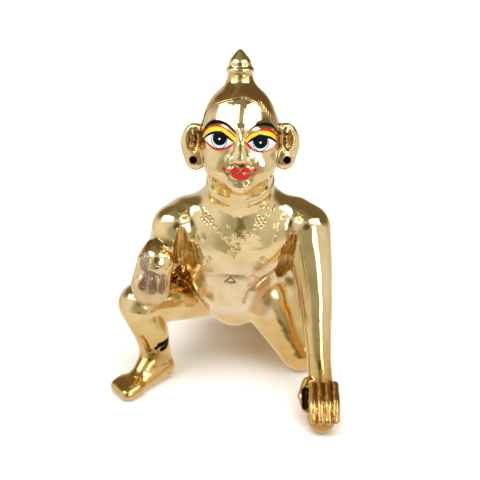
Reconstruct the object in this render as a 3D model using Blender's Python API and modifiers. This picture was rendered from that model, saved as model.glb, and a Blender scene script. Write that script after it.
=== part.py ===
"""Crawling child deity in polished brass, cast and filed as one solid piece.

The figure faces -Y. Its left hand, left knee, left foot and right sole stand on the ground at z = 0.
Pose and carving are drawn in units of about a hundredth of the height, x to the viewer's right, y away from
the viewer and z up, and the finished cast is brought to HEIGHT.
"""

import math

import bmesh
import bpy
import numpy as np
from mathutils import Matrix, Vector

HEIGHT = 0.100  # metres, from the ground to the tip of the topknot

ROUGH_STEP = 0.60  # width of one face of the first skin
FINE_STEP = 0.42  # and of the skin that the carving is taken out of
TRIANGLES = 9400
SETTLE_STEPS = 5
NEAR = 2.0  # how far from a form its skin is still looked for

BRASS = (0.80, 0.58, 0.27, 1.0)
BRASS_ROUGHNESS = 0.16

# Joints of the pose
NECK_BASE = (0.6, -6.0, 52.0)
NECK_TOP = (0.6, -8.6, 61.0)
HEAD_CENTRE = (0.6, -9.0, 73.2)
HEAD_LEAN = 20.0  # degrees that the head is thrown back
RIGHT_SHOULDER = (-17.2, -8.0, 45.2)
RIGHT_ELBOW = (-21.5, -4.0, 32.0)
RIGHT_FIST = (-24.4, -16.6, 31.6)
SWEET = (-22.8, -14.6, 38.6)
LEFT_SHOULDER = (19.2, -8.0, 45.0)
LEFT_ELBOW = (21.8, -17.0, 28.5)
LEFT_WRIST = (22.9, -26.0, 11.2)
LEFT_KNUCKLES = (23.5, -35.3, 8.6)
RIGHT_HIP = (-8.0, 4.0, 16.0)
RIGHT_KNEE = (-27.9, -13.0, 23.3)
RIGHT_CALF = (-25.0, -13.2, 14.0)
RIGHT_ANKLE = (-23.8, -13.4, 7.6)
RIGHT_HEEL = (-22.2, -14.0, 3.0)
RIGHT_TOES = (-30.6, -22.4, 1.6)
LEFT_HIP = (8.6, -4.6, 21.8)
LEFT_KNEE = (18.0, -9.0, 5.4)
LEFT_ANKLE = (13.5, 22.0, 3.6)
LEFT_TOES = (11.2, 33.0, 1.8)

# Girths, as radii
SHOULDER = 7.0
ELBOW = 4.9
LEFT_FOREARM = 3.9
WRIST = 3.4
LEFT_THIGH = 8.8
LEFT_KNEE_GIRTH = 6.0
RIGHT_THIGH = 6.6
RIGHT_KNEE_GIRTH = 6.1
CALF = 5.1
ANKLE = 4.2
FINGER = 1.15
HEAD = 0.957  # size of the head against the first drawing of it


class Form:
    """One rounded volume of the modelling: its place, its sizes and how softly it joins the rest."""

    def __init__(self, kind, centre, sizes, blend, turn=None, carve=False):
        self.kind = kind
        self.centre = Vector(centre)
        self.sizes = sizes
        self.blend = blend
        self.turn = turn or Matrix.Identity(3)
        self.carve = carve

    def reach(self):
        if self.kind == "limb":
            length, start, end = self.sizes
            return length + max(start, end)
        if self.kind == "chain":
            return max((link.centre - self.centre).length + link.reach() for link in self.sizes)
        if self.kind == "ring":
            return sum(self.sizes)
        return max(self.sizes)

    def distance(self, points):
        if self.kind == "chain":
            return np.min([link.distance(points) for link in self.sizes], axis=0)
        local = (points - np.array(self.centre)) @ np.array(self.turn)
        return DISTANCES[self.kind](local, self.sizes)


def ball_distance(p, radii):
    radii = np.array(radii)
    near = np.linalg.norm(p / radii, axis=1)
    steep = np.linalg.norm(p / radii**2, axis=1)
    return near * (near - 1.0) / np.maximum(steep, 1e-9)


def limb_distance(p, sizes):
    """A cone with round ends, from the origin up to z = length."""
    length, start, end = sizes
    slope = (start - end) / length
    side = math.sqrt(max(1.0 - slope * slope, 1e-6))
    out = np.hypot(p[:, 0], p[:, 1])
    along = out * -slope + p[:, 2] * side
    low = np.hypot(out, p[:, 2]) - start
    high = np.hypot(out, p[:, 2] - length) - end
    wall = out * side + p[:, 2] * slope - start
    return np.where(along < 0, low, np.where(along > side * length, high, wall))


def ring_distance(p, sizes):
    radius, thickness = sizes
    return np.hypot(np.hypot(p[:, 0], p[:, 1]) - radius, p[:, 2]) - thickness


DISTANCES = {"ball": ball_distance, "limb": limb_distance, "ring": ring_distance}


def turned(pitch=0.0, roll=0.0, yaw=0.0):
    """A turn in degrees: pitch nods forward, roll leans sideways and yaw swings round the upright."""
    spin = Matrix.Rotation(math.radians(yaw), 3, "Z")
    lean = Matrix.Rotation(math.radians(roll), 3, "Y")
    return spin @ lean @ Matrix.Rotation(math.radians(pitch), 3, "X")


def ball(centre, radii, blend, turn=None, carve=False):
    return Form("ball", centre, radii, blend, turn, carve)


def limb(start, end, start_radius, end_radius, blend, carve=False):
    along = Vector(end) - Vector(start)
    turn = along.to_track_quat("Z", "Y").to_matrix()
    return Form("limb", start, (along.length, start_radius, end_radius), blend, turn, carve)


def ring(centre, radius, thickness, blend, turn=None, carve=False):
    return Form("ring", centre, (radius, thickness), blend, turn, carve)


def curve_at(values, span, share):
    """A smooth curve through all the values, at this share of this span."""
    a, b, c, d = (values[min(max(span + i, 0), len(values) - 1)] for i in (-1, 0, 1, 2))
    t = share
    return 0.5 * (2 * b + (c - a) * t + (2 * a - 5 * b + 4 * c - d) * t * t + (3 * b - a - 3 * c + d) * t**3)


def chain(stations, blend, steps=6):
    """One limb through several stations, each a place and a radius, on one smooth curve."""
    places = [Vector(place) for place, _ in stations]
    radii = [radius for _, radius in stations]
    spots = [(span, step / steps) for span in range(len(stations) - 1) for step in range(steps)]
    spots.append((len(stations) - 2, 1.0))
    curve = [(curve_at(places, *spot), curve_at(radii, *spot)) for spot in spots]
    links = [limb(p, q, r, t, 0) for (p, r), (q, t) in zip(curve[:-1], curve[1:])]
    return Form("chain", places[0], links, blend)


def between(start, end, share):
    return Vector(start).lerp(Vector(end), share)


def torso():
    return [
        ball((0.8, -5.5, 43.5), (18.0, 11.3, 13.5), 0, turned(pitch=12)),
        ball((0.3, 1.5, 32.5), (16.0, 11.0, 20.0), 3.0, turned(pitch=20)),
        limb((-14.0, -5.0, 46.4), (15.5, -5.0, 46.2), 6.8, 6.8, 3.0),
        ball((-0.8, -3.8, 32.0), (12.4, 11.6, 15.0), 8.0),
        ball((-1.2, -1.5, 20.0), (7.6, 8.4, 9.2), 4.0),
        ball((0.5, 8.0, 18.5), (14.5, 10.5, 9.5), 4.0),
        ball((-7.5, 13.0, 17.5), (9.0, 9.0, 9.0), 3.0),
        ball((8.0, 13.0, 16.5), (9.2, 9.2, 9.2), 3.0),
        limb((-20.0, -1.5, 31.0), (-11.0, 1.0, 29.0), 4.6, 6.0, 2.0),
        limb((17.5, -6.5, 40.0), (15.0, 0.0, 28.0), 3.5, 5.0, 2.0),
    ]


def armpits():
    """Filed hollows that part the arms from the chest."""
    return [
        limb((-15.8, -14.6, 49.0), (-15.9, -14.2, 43.2), 0.5, 2.1, 0.3, carve=True),
        limb((-15.9, -14.2, 43.2), (-15.0, -11.2, 36.6), 2.1, 3.3, 0.3, carve=True),
        limb((15.8, -14.4, 47.0), (14.6, -12.9, 40.3), 0.4, 2.5, 0.3, carve=True),
        limb((14.6, -12.9, 40.3), (14.2, -9.8, 33.8), 2.5, 4.1, 0.3, carve=True),
    ]


def right_leg():
    return [
        limb(RIGHT_HIP, RIGHT_KNEE, RIGHT_THIGH, RIGHT_KNEE_GIRTH, 1.6),
        chain(
            [(RIGHT_KNEE, RIGHT_KNEE_GIRTH - 0.1), (RIGHT_CALF, CALF), (RIGHT_ANKLE, ANKLE), (RIGHT_HEEL, 3.6)], 0.4
        ),
        *right_foot(),
    ]


def right_foot():
    ahead = Vector((-0.70, -0.71, 0.0))
    across = Vector((0.71, -0.70, 0.0))
    heel, toes = Vector(RIGHT_HEEL), Vector(RIGHT_TOES)
    forms = [
        limb(RIGHT_ANKLE, between(heel, toes, 0.75), 3.7, 2.8, 1.5),
        limb(heel, toes, 3.5, 2.6, 1.0),
        limb(heel + across * 1.2, toes + across * 1.9, 2.4, 2.2, 1.0),
        limb(heel - across * 1.0, toes - across * 1.9, 2.4, 1.9, 1.0),
        limb(toes + ahead * 2.3 + across * 2.5, toes + ahead * 2.0 - across * 2.6, 1.95, 1.6, 1.6),
    ]
    for toe in range(5):
        root = toes + across * (3.2 - 1.6 * toe)
        length = 4.2 - 0.3 * toe
        radius = 1.5 if toe == 0 else 1.2
        forms.append(limb(root, root + ahead * length, radius + 0.3, radius, 0.6))
    return forms


def left_leg():
    knee, ankle, toes = Vector(LEFT_KNEE), Vector(LEFT_ANKLE), Vector(LEFT_TOES)
    calf = between(knee, ankle, 0.4)
    forms = [
        limb((9.0, 4.0, 18.5), LEFT_HIP, 8.5, LEFT_THIGH, 2.0),
        limb(LEFT_HIP, knee, LEFT_THIGH, LEFT_KNEE_GIRTH, 1.0),
        chain([(knee, LEFT_KNEE_GIRTH), (calf, 5.6), (ankle, 3.9), (ankle + Vector((-0.5, 4.2, 1.0)), 3.5)], 0.6),
        limb(ankle + Vector((-0.5, 3.5, 0.2)), toes, 3.6, 2.4, 1.0),
        limb(toes + Vector((-1.4, -2.0, 0.3)), toes + Vector((1.4, -2.0, 0.3)), 2.2, 2.2, 1.0),
    ]
    for toe in range(5):
        root = toes + Vector((1.45 * (toe - 2), -1.0, 0.2))
        tip = root + Vector((-0.1, 4.0 - 0.35 * (4 - toe), 0.1))
        forms.append(limb(root, tip, 1.5, 1.45 if toe == 4 else 1.1, 0.3))
    return forms


def right_arm():
    fist, sweet = Vector(RIGHT_FIST), Vector(SWEET)
    return [
        chain([(RIGHT_SHOULDER, SHOULDER), (RIGHT_ELBOW, 5.5), (fist + Vector((0.6, 4.5, 0.5)), 4.4)], 1.5),
        ball(sweet, (5.2, 5.2, 5.2), 0.6),
        limb(fist + Vector((0.1, 0.5, 0.5)), sweet + Vector((-0.2, 0.5, -0.8)), 5.4, 5.0, 0.4),
        ball(fist, (5.6, 5.6, 6.1), 0.3),
        limb(fist + Vector((-3.8, -0.4, 0.8)), (-26.7, -15.9, 39.6), 1.7, 1.4, 0.5),
    ]


def finger_slots():
    """Deep file cuts that part the fingers of the raised fist."""
    forms = []
    for place, slant in (((-26.1, -20.8, 35.6), 0.6), ((-23.4, -21.6, 34.9), 0.4), ((-20.8, -20.9, 34.6), 0.3)):
        centre, along = Vector(place), Vector((slant, 0.5, 1.5))
        forms.append(limb(centre - along, centre + along, 0.95, 0.85, 0.1, carve=True))
    return forms


def left_arm():
    knuckles = Vector(LEFT_KNUCKLES)
    forearm = between(LEFT_ELBOW, LEFT_WRIST, 0.55)
    palm = knuckles + Vector((0.0, 3.6, -4.0))
    forms = [
        chain(
            [(LEFT_SHOULDER, SHOULDER), (LEFT_ELBOW, ELBOW), (forearm, LEFT_FOREARM), (LEFT_WRIST, WRIST), (palm, 3.4)],
            1.5,
        ),
        limb(palm + Vector((-1.5, 0.8, 0.6)), palm + Vector((-1.5, -4.5, 1.2)), 2.8, 2.8, 1.0),
        limb(palm + Vector((1.5, 0.8, 0.6)), palm + Vector((1.5, -4.5, 1.2)), 2.8, 2.8, 1.0),
        ball(knuckles + Vector((-0.2, -5.9, -4.8)), (4.1, 4.6, 4.4), 0.5),
    ]
    for finger in range(4):
        across = 0.4 + (finger - 1.5) * 2.12
        middle = 0.5 - 0.22 * (finger - 1.5) ** 2
        start = knuckles + Vector((across, 1.4, 0.9 + 0.3 * middle))
        bend = knuckles + Vector((across, -5.4 - middle, -0.2))
        tip = knuckles + Vector((across * 0.97, -9.6 - middle, -3.4))
        forms.append(chain([(start, FINGER), (bend, FINGER), (tip, FINGER - 0.1)], 0.2))
    base = knuckles + Vector((-3.8, 4.4, -0.6))
    joint = knuckles + Vector((-5.5, 0.2, -2.0))
    forms.append(limb(base, joint, 1.8, 1.4, 0.6))
    forms.append(limb(joint, knuckles + Vector((-4.7, -3.6, -3.6)), 1.4, 1.2, 0.4))
    forms.append(limb((18.8, -34.7, 8.2), (18.6, -39.3, 6.0), 0.65, 0.55, 0.15, carve=True))
    return forms


def head_place(side, forward, up):
    """A point given on the head's own axes: to the viewer's right, out of the face and up to the crown."""
    lean = math.radians(HEAD_LEAN)
    return Vector(HEAD_CENTRE) + HEAD * Vector(
        (
            side,
            -forward * math.cos(lean) + up * math.sin(lean),
            forward * math.sin(lean) + up * math.cos(lean),
        )
    )


def head_ball(place, radii, blend, yaw=0.0, roll=0.0, carve=False):
    turn = turned(pitch=-HEAD_LEAN) @ turned(roll=roll, yaw=yaw)
    return ball(head_place(*place), [HEAD * radius for radius in radii], blend, turn, carve)


def head_limb(start, end, start_radius, end_radius, blend, carve=False):
    start, end = head_place(*start), head_place(*end)
    return limb(start, end, HEAD * start_radius, HEAD * end_radius, blend, carve)


def head_ring(place, radius, thickness, blend):
    return ring(head_place(*place), HEAD * radius, HEAD * thickness, blend, turned(pitch=-HEAD_LEAN))


def head():
    forms = [
        head_ball((0, -1.5, 2.0), (11.4, 12.3, 13.2), 2.0),
        head_ball((0, -1.4, 7.4), (9.8, 10.2, 9.2), 1.0),
        head_ball((0, 2.2, -3.4), (10.4, 9.2, 11.6), 3.0),
        head_ball((0, 8.3, -11.2), (3.8, 3.0, 2.9), 2.0),
    ]
    for side in (-1, 1):
        forms.append(head_ball((4.9 * side, 6.2, -6.0), (4.8, 4.2, 4.8), 3.0))
        forms.append(head_ball((5.4 * side, 7.7, 2.0), (4.2, 2.6, 2.9), 2.5))
    forms.append(head_limb((0, 10.2, 4.0), (0, 11.9, -3.2), 1.0, 1.9, 1.6))
    for side in (-1, 1):
        forms.append(head_ball((2.1 * side, 11.0, -4.0), (1.7, 1.6, 1.3), 0.9))
    return forms + lips() + topknot() + ears()


def lips():
    return [
        head_ball((-1.55, 11.1, -6.6), (2.1, 1.0, 0.9), 0.5),
        head_ball((1.55, 11.1, -6.6), (2.1, 1.0, 0.9), 0.5),
        head_ball((0.0, 10.9, -8.4), (2.7, 1.2, 1.1), 0.5),
    ]


def topknot():
    return [
        head_limb((0, -1, 13.2), (0, -1, 18.4), 5.0, 3.4, 1.5),
        head_ring((0, -1, 20.3), 3.05, 0.95, 0.4),
        head_limb((0, -1, 21.6), (0, -1, 25.1), 3.2, 1.0, 0.3),
    ]


def ears():
    """Cupped shells with a rim and an inner ridge, and a hole drilled into the lobe."""
    forms = []
    for side in (-1, 1):
        forms.append(head_ball((12.9 * side, -1.0, -0.8), (4.3, 1.8, 6.0), 0.8, yaw=18 * side))
        forms.append(head_ball((12.8 * side, -0.7, -5.2), (3.1, 1.8, 3.2), 0.8, yaw=18 * side))
    for side in (-1, 1):
        forms.append(head_ball((13.6 * side, 1.8, 0.9), (2.6, 2.6, 4.3), 0.2, yaw=18 * side, carve=True))
        forms.append(head_limb((13.3 * side, -0.4, 3.2), (13.2 * side, -0.2, -1.6), 0.6, 0.6, 0.4))
        forms.append(head_limb((13.6 * side, 4.0, -5.4), (13.4 * side, -0.4, -5.4), 0.85, 0.85, 0.15, carve=True))
    return forms


def neck():
    forms = [limb(NECK_BASE, NECK_TOP, 10.2, 8.2, 4.5)]
    tilt = turned(pitch=15)
    for fold, radius in enumerate((8.2, 9.0)):
        forms.append(ring((0.6, -7.8, 62.3 - 1.9 * fold), radius, 0.55, 1.2, tilt))
    return forms


def figure():
    body = torso() + left_leg() + right_leg() + neck() + left_arm() + right_arm()
    return body + armpits() + finger_slots() + head()


def soft_union(a, b, blend):
    if blend <= 0:
        return np.minimum(a, b)
    overlap = np.maximum(blend - np.abs(a - b), 0.0) / blend
    return np.minimum(a, b) - overlap**2 * blend / 4.0


def skin_distance(points, forms):
    """How far each point lies outside the figure's skin; negative inside it."""
    found = np.full(len(points), NEAR)
    for form in forms:
        offset = points - np.array(form.centre)
        close = np.linalg.norm(offset, axis=1) < form.reach() + form.blend + NEAR
        if not close.any():
            continue
        away = form.distance(points[close])
        if form.carve:
            found[close] = -soft_union(-found[close], away, form.blend)
        else:
            found[close] = soft_union(found[close], away, form.blend)
    return found


def settle(points, forms, steps):
    """Moves the points of a rough skin onto the true one, along the way that the distance falls fastest."""
    probe = 0.03
    for _ in range(steps):
        here = skin_distance(points, forms)
        slope = np.empty_like(points)
        for axis in range(3):
            shifted = points.copy()
            shifted[:, axis] += probe
            slope[:, axis] = (skin_distance(shifted, forms) - here) / probe
        steepness = np.maximum((slope**2).sum(axis=1), 0.2)
        move = -(here / steepness)[:, None] * slope
        points = points + np.clip(move, -0.6, 0.6)
    return points


def add_primitive(form):
    """The form as a mesh primitive of Blender's, in its place."""
    if form.kind == "ball":
        bpy.ops.mesh.primitive_uv_sphere_add(segments=32, ring_count=16, radius=1.0)
        shape = Matrix.Diagonal((*form.sizes, 1.0))
    elif form.kind == "ring":
        bpy.ops.mesh.primitive_torus_add(major_radius=form.sizes[0], minor_radius=form.sizes[1])
        shape = Matrix.Identity(4)
    else:
        add_round_cone(*form.sizes)
        shape = Matrix.Identity(4)
    obj = bpy.context.object
    obj.data.transform(Matrix.Translation(form.centre) @ form.turn.to_4x4() @ shape)
    return obj


def add_round_cone(length, start, end):
    """Two balls and the tight skin round both."""
    bpy.ops.mesh.primitive_uv_sphere_add(segments=24, ring_count=12, radius=start)
    mesh = bpy.context.object.data
    shape = bmesh.new()
    shape.from_mesh(mesh)
    bmesh.ops.create_uvsphere(
        shape, u_segments=24, v_segments=12, radius=end, matrix=Matrix.Translation((0, 0, length))
    )
    bmesh.ops.delete(shape, geom=shape.edges[:] + shape.faces[:], context="EDGES_FACES")
    found = bmesh.ops.convex_hull(shape, input=shape.verts)
    spare = [item for item in found["geom_interior"] if isinstance(item, bmesh.types.BMVert)]
    bmesh.ops.delete(shape, geom=spare, context="VERTS")
    bmesh.ops.recalc_face_normals(shape, faces=shape.faces)
    shape.to_mesh(mesh)
    shape.free()


def apply_modifier(obj, kind, **settings):
    modifier = obj.modifiers.new(kind.title(), kind)
    for name, value in settings.items():
        setattr(modifier, name, value)
    bpy.context.view_layer.objects.active = obj
    bpy.ops.object.modifier_apply(modifier=modifier.name)


def join_primitives(forms):
    single = [link for form in forms for link in (form.sizes if form.kind == "chain" else [form])]
    pieces = [add_primitive(form) for form in single]
    bpy.ops.object.select_all(action="DESELECT")
    for piece in pieces:
        piece.select_set(True)
    bpy.context.view_layer.objects.active = pieces[0]
    bpy.ops.object.join()
    return bpy.context.object


def rough_skin(forms):
    """All solid forms under one even skin, with the carved ones taken out of it."""
    obj = join_primitives([form for form in forms if not form.carve])
    apply_modifier(obj, "REMESH", mode="VOXEL", voxel_size=ROUGH_STEP)
    for form in forms:
        if form.carve:
            cutter = add_primitive(form)
            apply_modifier(obj, "BOOLEAN", operation="DIFFERENCE", solver="EXACT", object=cutter)
            bpy.data.objects.remove(cutter)
    apply_modifier(obj, "REMESH", mode="VOXEL", voxel_size=FINE_STEP)
    return obj


def set_points(mesh, points):
    mesh.vertices.foreach_set("co", points.astype(np.float32).ravel())
    mesh.update()


def get_points(mesh):
    points = np.empty(len(mesh.vertices) * 3, np.float32)
    mesh.vertices.foreach_get("co", points)
    return points.reshape(-1, 3).astype(float)


def file_flat(mesh, height):
    """Cuts the underside off at this height and closes the cut with flat faces."""
    shape = bmesh.new()
    shape.from_mesh(mesh)
    everything = shape.verts[:] + shape.edges[:] + shape.faces[:]
    bmesh.ops.bisect_plane(
        shape, geom=everything, dist=1e-4, plane_co=(0, 0, height), plane_no=(0, 0, -1), clear_outer=True
    )
    bmesh.ops.holes_fill(shape, edges=[edge for edge in shape.edges if edge.is_boundary], sides=0)
    bmesh.ops.triangulate(shape, faces=shape.faces)
    shape.to_mesh(mesh)
    shape.free()


def cast_figure():
    forms = figure()
    obj = rough_skin(forms)
    mesh = obj.data
    set_points(mesh, settle(get_points(mesh), forms, SETTLE_STEPS))
    faces = sum(len(polygon.vertices) - 2 for polygon in mesh.polygons)
    apply_modifier(obj, "DECIMATE", ratio=TRIANGLES / faces)
    file_flat(mesh, 0.0)
    points = get_points(mesh)
    middle = (points.min(axis=0) + points.max(axis=0)) / 2.0
    points[:, :2] -= middle[:2]
    set_points(mesh, points * (HEIGHT / points[:, 2].max()))
    return obj


def brass():
    material = bpy.data.materials.new("polished brass")
    material.use_nodes = True
    shader = material.node_tree.nodes["Principled BSDF"]
    shader.inputs["Base Color"].default_value = BRASS
    shader.inputs["Metallic"].default_value = 1.0
    shader.inputs["Roughness"].default_value = BRASS_ROUGHNESS
    return material


def main():
    for obj in list(bpy.data.objects):
        bpy.data.objects.remove(obj)
    idol = cast_figure()
    idol.name = "idol"
    idol.data.materials.clear()
    idol.data.materials.append(brass())
    idol.data.shade_smooth()
    collection = bpy.data.collections.new("Laddu Gopal idol")
    bpy.context.scene.collection.children.link(collection)
    for user in list(idol.users_collection):
        user.objects.unlink(idol)
    collection.objects.link(idol)


main()
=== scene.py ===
"""Crawling child deity in solid polished brass, with enamel-painted eyes and lips, on a pale studio floor.

The figure is drawn in units of about a millimetre, x to the viewer's right, y away from the viewer and z up.
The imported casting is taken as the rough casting: its skin is made finer, settled on the rounded forms that it
was cast from, and then chased with the hairline, the forehead mark, the punched necklace and the file marks.
"""

import math

import bpy
import numpy as np
from mathutils import Matrix, Vector
from mathutils.bvhtree import BVHTree


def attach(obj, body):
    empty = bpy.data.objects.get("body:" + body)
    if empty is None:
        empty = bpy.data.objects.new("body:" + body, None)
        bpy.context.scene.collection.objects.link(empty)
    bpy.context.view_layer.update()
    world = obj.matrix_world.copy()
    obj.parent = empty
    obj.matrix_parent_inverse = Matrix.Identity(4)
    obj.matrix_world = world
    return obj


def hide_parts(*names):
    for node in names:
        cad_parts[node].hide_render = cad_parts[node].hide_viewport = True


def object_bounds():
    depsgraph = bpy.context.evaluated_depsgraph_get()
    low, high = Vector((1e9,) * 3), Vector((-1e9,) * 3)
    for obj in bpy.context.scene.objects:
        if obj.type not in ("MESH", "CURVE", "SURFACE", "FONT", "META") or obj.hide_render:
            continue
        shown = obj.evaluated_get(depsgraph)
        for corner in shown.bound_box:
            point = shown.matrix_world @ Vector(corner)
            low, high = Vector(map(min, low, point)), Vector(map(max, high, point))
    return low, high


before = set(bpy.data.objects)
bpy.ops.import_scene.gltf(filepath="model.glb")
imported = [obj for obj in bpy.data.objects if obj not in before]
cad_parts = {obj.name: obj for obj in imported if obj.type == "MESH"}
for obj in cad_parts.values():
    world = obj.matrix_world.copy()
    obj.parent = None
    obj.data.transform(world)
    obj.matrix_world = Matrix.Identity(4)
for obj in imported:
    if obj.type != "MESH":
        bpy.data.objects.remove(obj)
CAD_LOW, CAD_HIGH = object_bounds()

# The drawing's own size and place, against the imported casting's
DRAWN_HEIGHT = 96.389
DRAWN_MIDDLE = np.array([-3.914, -4.475, 0.0])
UNIT = (CAD_HIGH.z - CAD_LOW.z) / DRAWN_HEIGHT  # metres

NEAR = 2.5  # how far from a form its skin is still looked for

# Joints of the pose
NECK_BASE = (0.6, -6.0, 52.0)
NECK_TOP = (0.6, -8.6, 61.0)
HEAD_CENTRE = (0.6, -9.0, 73.2)
HEAD_LEAN = math.radians(20.0)
HEAD = 0.957
RIGHT_SHOULDER = (-17.2, -8.0, 45.2)
RIGHT_ELBOW = (-21.5, -4.0, 32.0)
RIGHT_FIST = (-24.4, -16.6, 31.6)
SWEET = (-22.8, -14.6, 38.6)
LEFT_SHOULDER = (19.2, -8.0, 45.0)
LEFT_ELBOW = (21.8, -17.0, 28.5)
LEFT_WRIST = (22.9, -26.0, 11.2)
LEFT_KNUCKLES = (23.5, -35.3, 8.6)
RIGHT_HIP = (-8.0, 4.0, 16.0)
RIGHT_KNEE = (-27.9, -13.0, 23.3)
RIGHT_CALF = (-25.0, -13.2, 14.0)
RIGHT_ANKLE = (-23.8, -13.4, 7.6)
RIGHT_HEEL = (-22.2, -14.0, 3.0)
RIGHT_TOES = (-30.6, -22.4, 1.6)
LEFT_HIP = (8.6, -4.6, 21.8)
LEFT_KNEE = (18.0, -9.0, 5.4)
LEFT_ANKLE = (13.5, 22.0, 3.6)
LEFT_TOES = (11.2, 33.0, 1.8)


# The rounded forms. Each is (kind, centre, sizes, blend, turn, carve).


def ball_distance(p, radii):
    near = np.linalg.norm(p / radii, axis=1)
    steep = np.linalg.norm(p / np.square(radii), axis=1)
    return near * (near - 1.0) / np.maximum(steep, 1e-9)


def limb_distance(p, sizes):
    """A cone with round ends, from the origin up to z = length."""
    length, start, end = sizes
    slope = (start - end) / length
    side = math.sqrt(max(1.0 - slope * slope, 1e-6))
    out = np.hypot(p[:, 0], p[:, 1])
    along = out * -slope + p[:, 2] * side
    low = np.hypot(out, p[:, 2]) - start
    high = np.hypot(out, p[:, 2] - length) - end
    wall = out * side + p[:, 2] * slope - start
    return np.where(along < 0, low, np.where(along > side * length, high, wall))


def ring_distance(p, sizes):
    radius, thickness = sizes
    return np.hypot(np.hypot(p[:, 0], p[:, 1]) - radius, p[:, 2]) - thickness


def chain_distance(p, links):
    return np.min([limb_distance((p - centre) @ turn, sizes) for _, centre, sizes, _, turn, _ in links], axis=0)


DISTANCES = {"ball": ball_distance, "limb": limb_distance, "ring": ring_distance, "chain": chain_distance}


def turned(pitch=0.0, roll=0.0, yaw=0.0):
    spin = Matrix.Rotation(yaw, 3, "Z")
    lean = Matrix.Rotation(roll, 3, "Y")
    return spin @ lean @ Matrix.Rotation(pitch, 3, "X")


def form(kind, centre, sizes, blend, turn=None, carve=False):
    turn = turn or Matrix.Identity(3)
    sizes = sizes if kind == "chain" else np.array(sizes, float)
    return kind, np.array(centre), sizes, blend, np.array(turn), carve


def ball(centre, radii, blend, turn=None, carve=False):
    return form("ball", centre, radii, blend, turn, carve)


def limb(start, end, start_radius, end_radius, blend, carve=False):
    along = Vector(end) - Vector(start)
    turn = along.to_track_quat("Z", "Y").to_matrix()
    return form("limb", start, (along.length, start_radius, end_radius), blend, turn, carve)


def ring(centre, radius, thickness, blend, turn=None):
    return form("ring", centre, (radius, thickness), blend, turn)


def curve_at(values, span, share):
    """A smooth curve through all the values, at this share of this span."""
    a, b, c, d = (values[min(max(span + i, 0), len(values) - 1)] for i in (-1, 0, 1, 2))
    t = share
    return 0.5 * (2 * b + (c - a) * t + (2 * a - 5 * b + 4 * c - d) * t * t + (3 * b - a - 3 * c + d) * t**3)


def chain(stations, blend, steps=6):
    """One limb through several stations, each a place and a radius, on one smooth curve."""
    places = [Vector(place) for place, _ in stations]
    radii = [radius for _, radius in stations]
    spots = [(span, step / steps) for span in range(len(stations) - 1) for step in range(steps)]
    spots.append((len(stations) - 2, 1.0))
    curve = [(curve_at(places, *spot), curve_at(radii, *spot)) for spot in spots]
    links = [limb(p, q, r, t, 0) for (p, r), (q, t) in zip(curve[:-1], curve[1:])]
    return form("chain", places[0], links, blend)


def reach_of(kind, centre, sizes):
    if kind == "chain":
        return max(np.linalg.norm(link[1] - centre) + link[2][0] + max(link[2][1:]) for link in sizes)
    return sizes[0] + max(sizes[1:]) if kind == "limb" else sum(sizes) if kind == "ring" else max(sizes)


def between(start, end, share):
    return Vector(start).lerp(Vector(end), share)


def torso():
    return [
        ball((0.8, -5.5, 43.5), (18.0, 11.3, 13.5), 0, turned(pitch=math.radians(12))),
        ball((0.3, 1.5, 32.5), (16.0, 11.0, 20.0), 3.0, turned(pitch=math.radians(20))),
        limb((-14.0, -5.0, 46.4), (15.5, -5.0, 46.2), 6.8, 6.8, 3.0),
        ball((-0.8, -3.8, 32.0), (12.4, 11.6, 15.0), 8.0),
        ball((-1.2, -1.5, 20.0), (7.6, 8.4, 9.2), 4.0),
        ball((0.5, 8.0, 18.5), (14.5, 10.5, 9.5), 4.0),
        ball((-7.5, 13.0, 17.5), (9.0, 9.0, 9.0), 3.0),
        ball((8.0, 13.0, 16.5), (9.2, 9.2, 9.2), 3.0),
        limb((-20.0, -1.5, 31.0), (-11.0, 1.0, 29.0), 4.6, 6.0, 2.0),
        limb((17.5, -6.5, 40.0), (15.0, 0.0, 28.0), 3.5, 5.0, 2.0),
    ]


def armpits():
    """Filed hollows that part the arms from the chest."""
    return [
        limb((-15.8, -14.6, 49.0), (-15.9, -14.2, 43.2), 0.5, 2.1, 0.3, carve=True),
        limb((-15.9, -14.2, 43.2), (-15.0, -11.2, 36.6), 2.1, 3.3, 0.3, carve=True),
        limb((15.8, -14.4, 47.0), (14.6, -12.9, 40.3), 0.4, 2.5, 0.3, carve=True),
        limb((14.6, -12.9, 40.3), (14.2, -9.8, 33.8), 2.5, 4.1, 0.3, carve=True),
    ]


def right_leg():
    ahead = Vector((-0.70, -0.71, 0.0))
    across = Vector((0.71, -0.70, 0.0))
    heel, toes = Vector(RIGHT_HEEL), Vector(RIGHT_TOES)
    forms = [
        limb(RIGHT_HIP, RIGHT_KNEE, 6.6, 6.1, 1.6),
        chain([(RIGHT_KNEE, 6.0), (RIGHT_CALF, 5.1), (RIGHT_ANKLE, 4.2), (RIGHT_HEEL, 3.6)], 0.4),
        limb(RIGHT_ANKLE, between(heel, toes, 0.75), 3.7, 2.8, 1.5),
        limb(heel, toes, 3.5, 2.6, 1.0),
        limb(heel + across * 1.2, toes + across * 1.9, 2.4, 2.2, 1.0),
        limb(heel - across * 1.0, toes - across * 1.9, 2.4, 1.9, 1.0),
        limb(toes + ahead * 2.3 + across * 2.5, toes + ahead * 2.0 - across * 2.6, 1.95, 1.6, 1.6),
    ]
    for toe in range(5):
        root = toes + across * (2.8 - 1.5 * toe)
        radius = 1.5 if toe == 0 else 1.2
        forms.append(limb(root, root + ahead * (4.2 - 0.3 * toe), radius + 0.3, radius, 1.8))
    return forms


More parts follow.
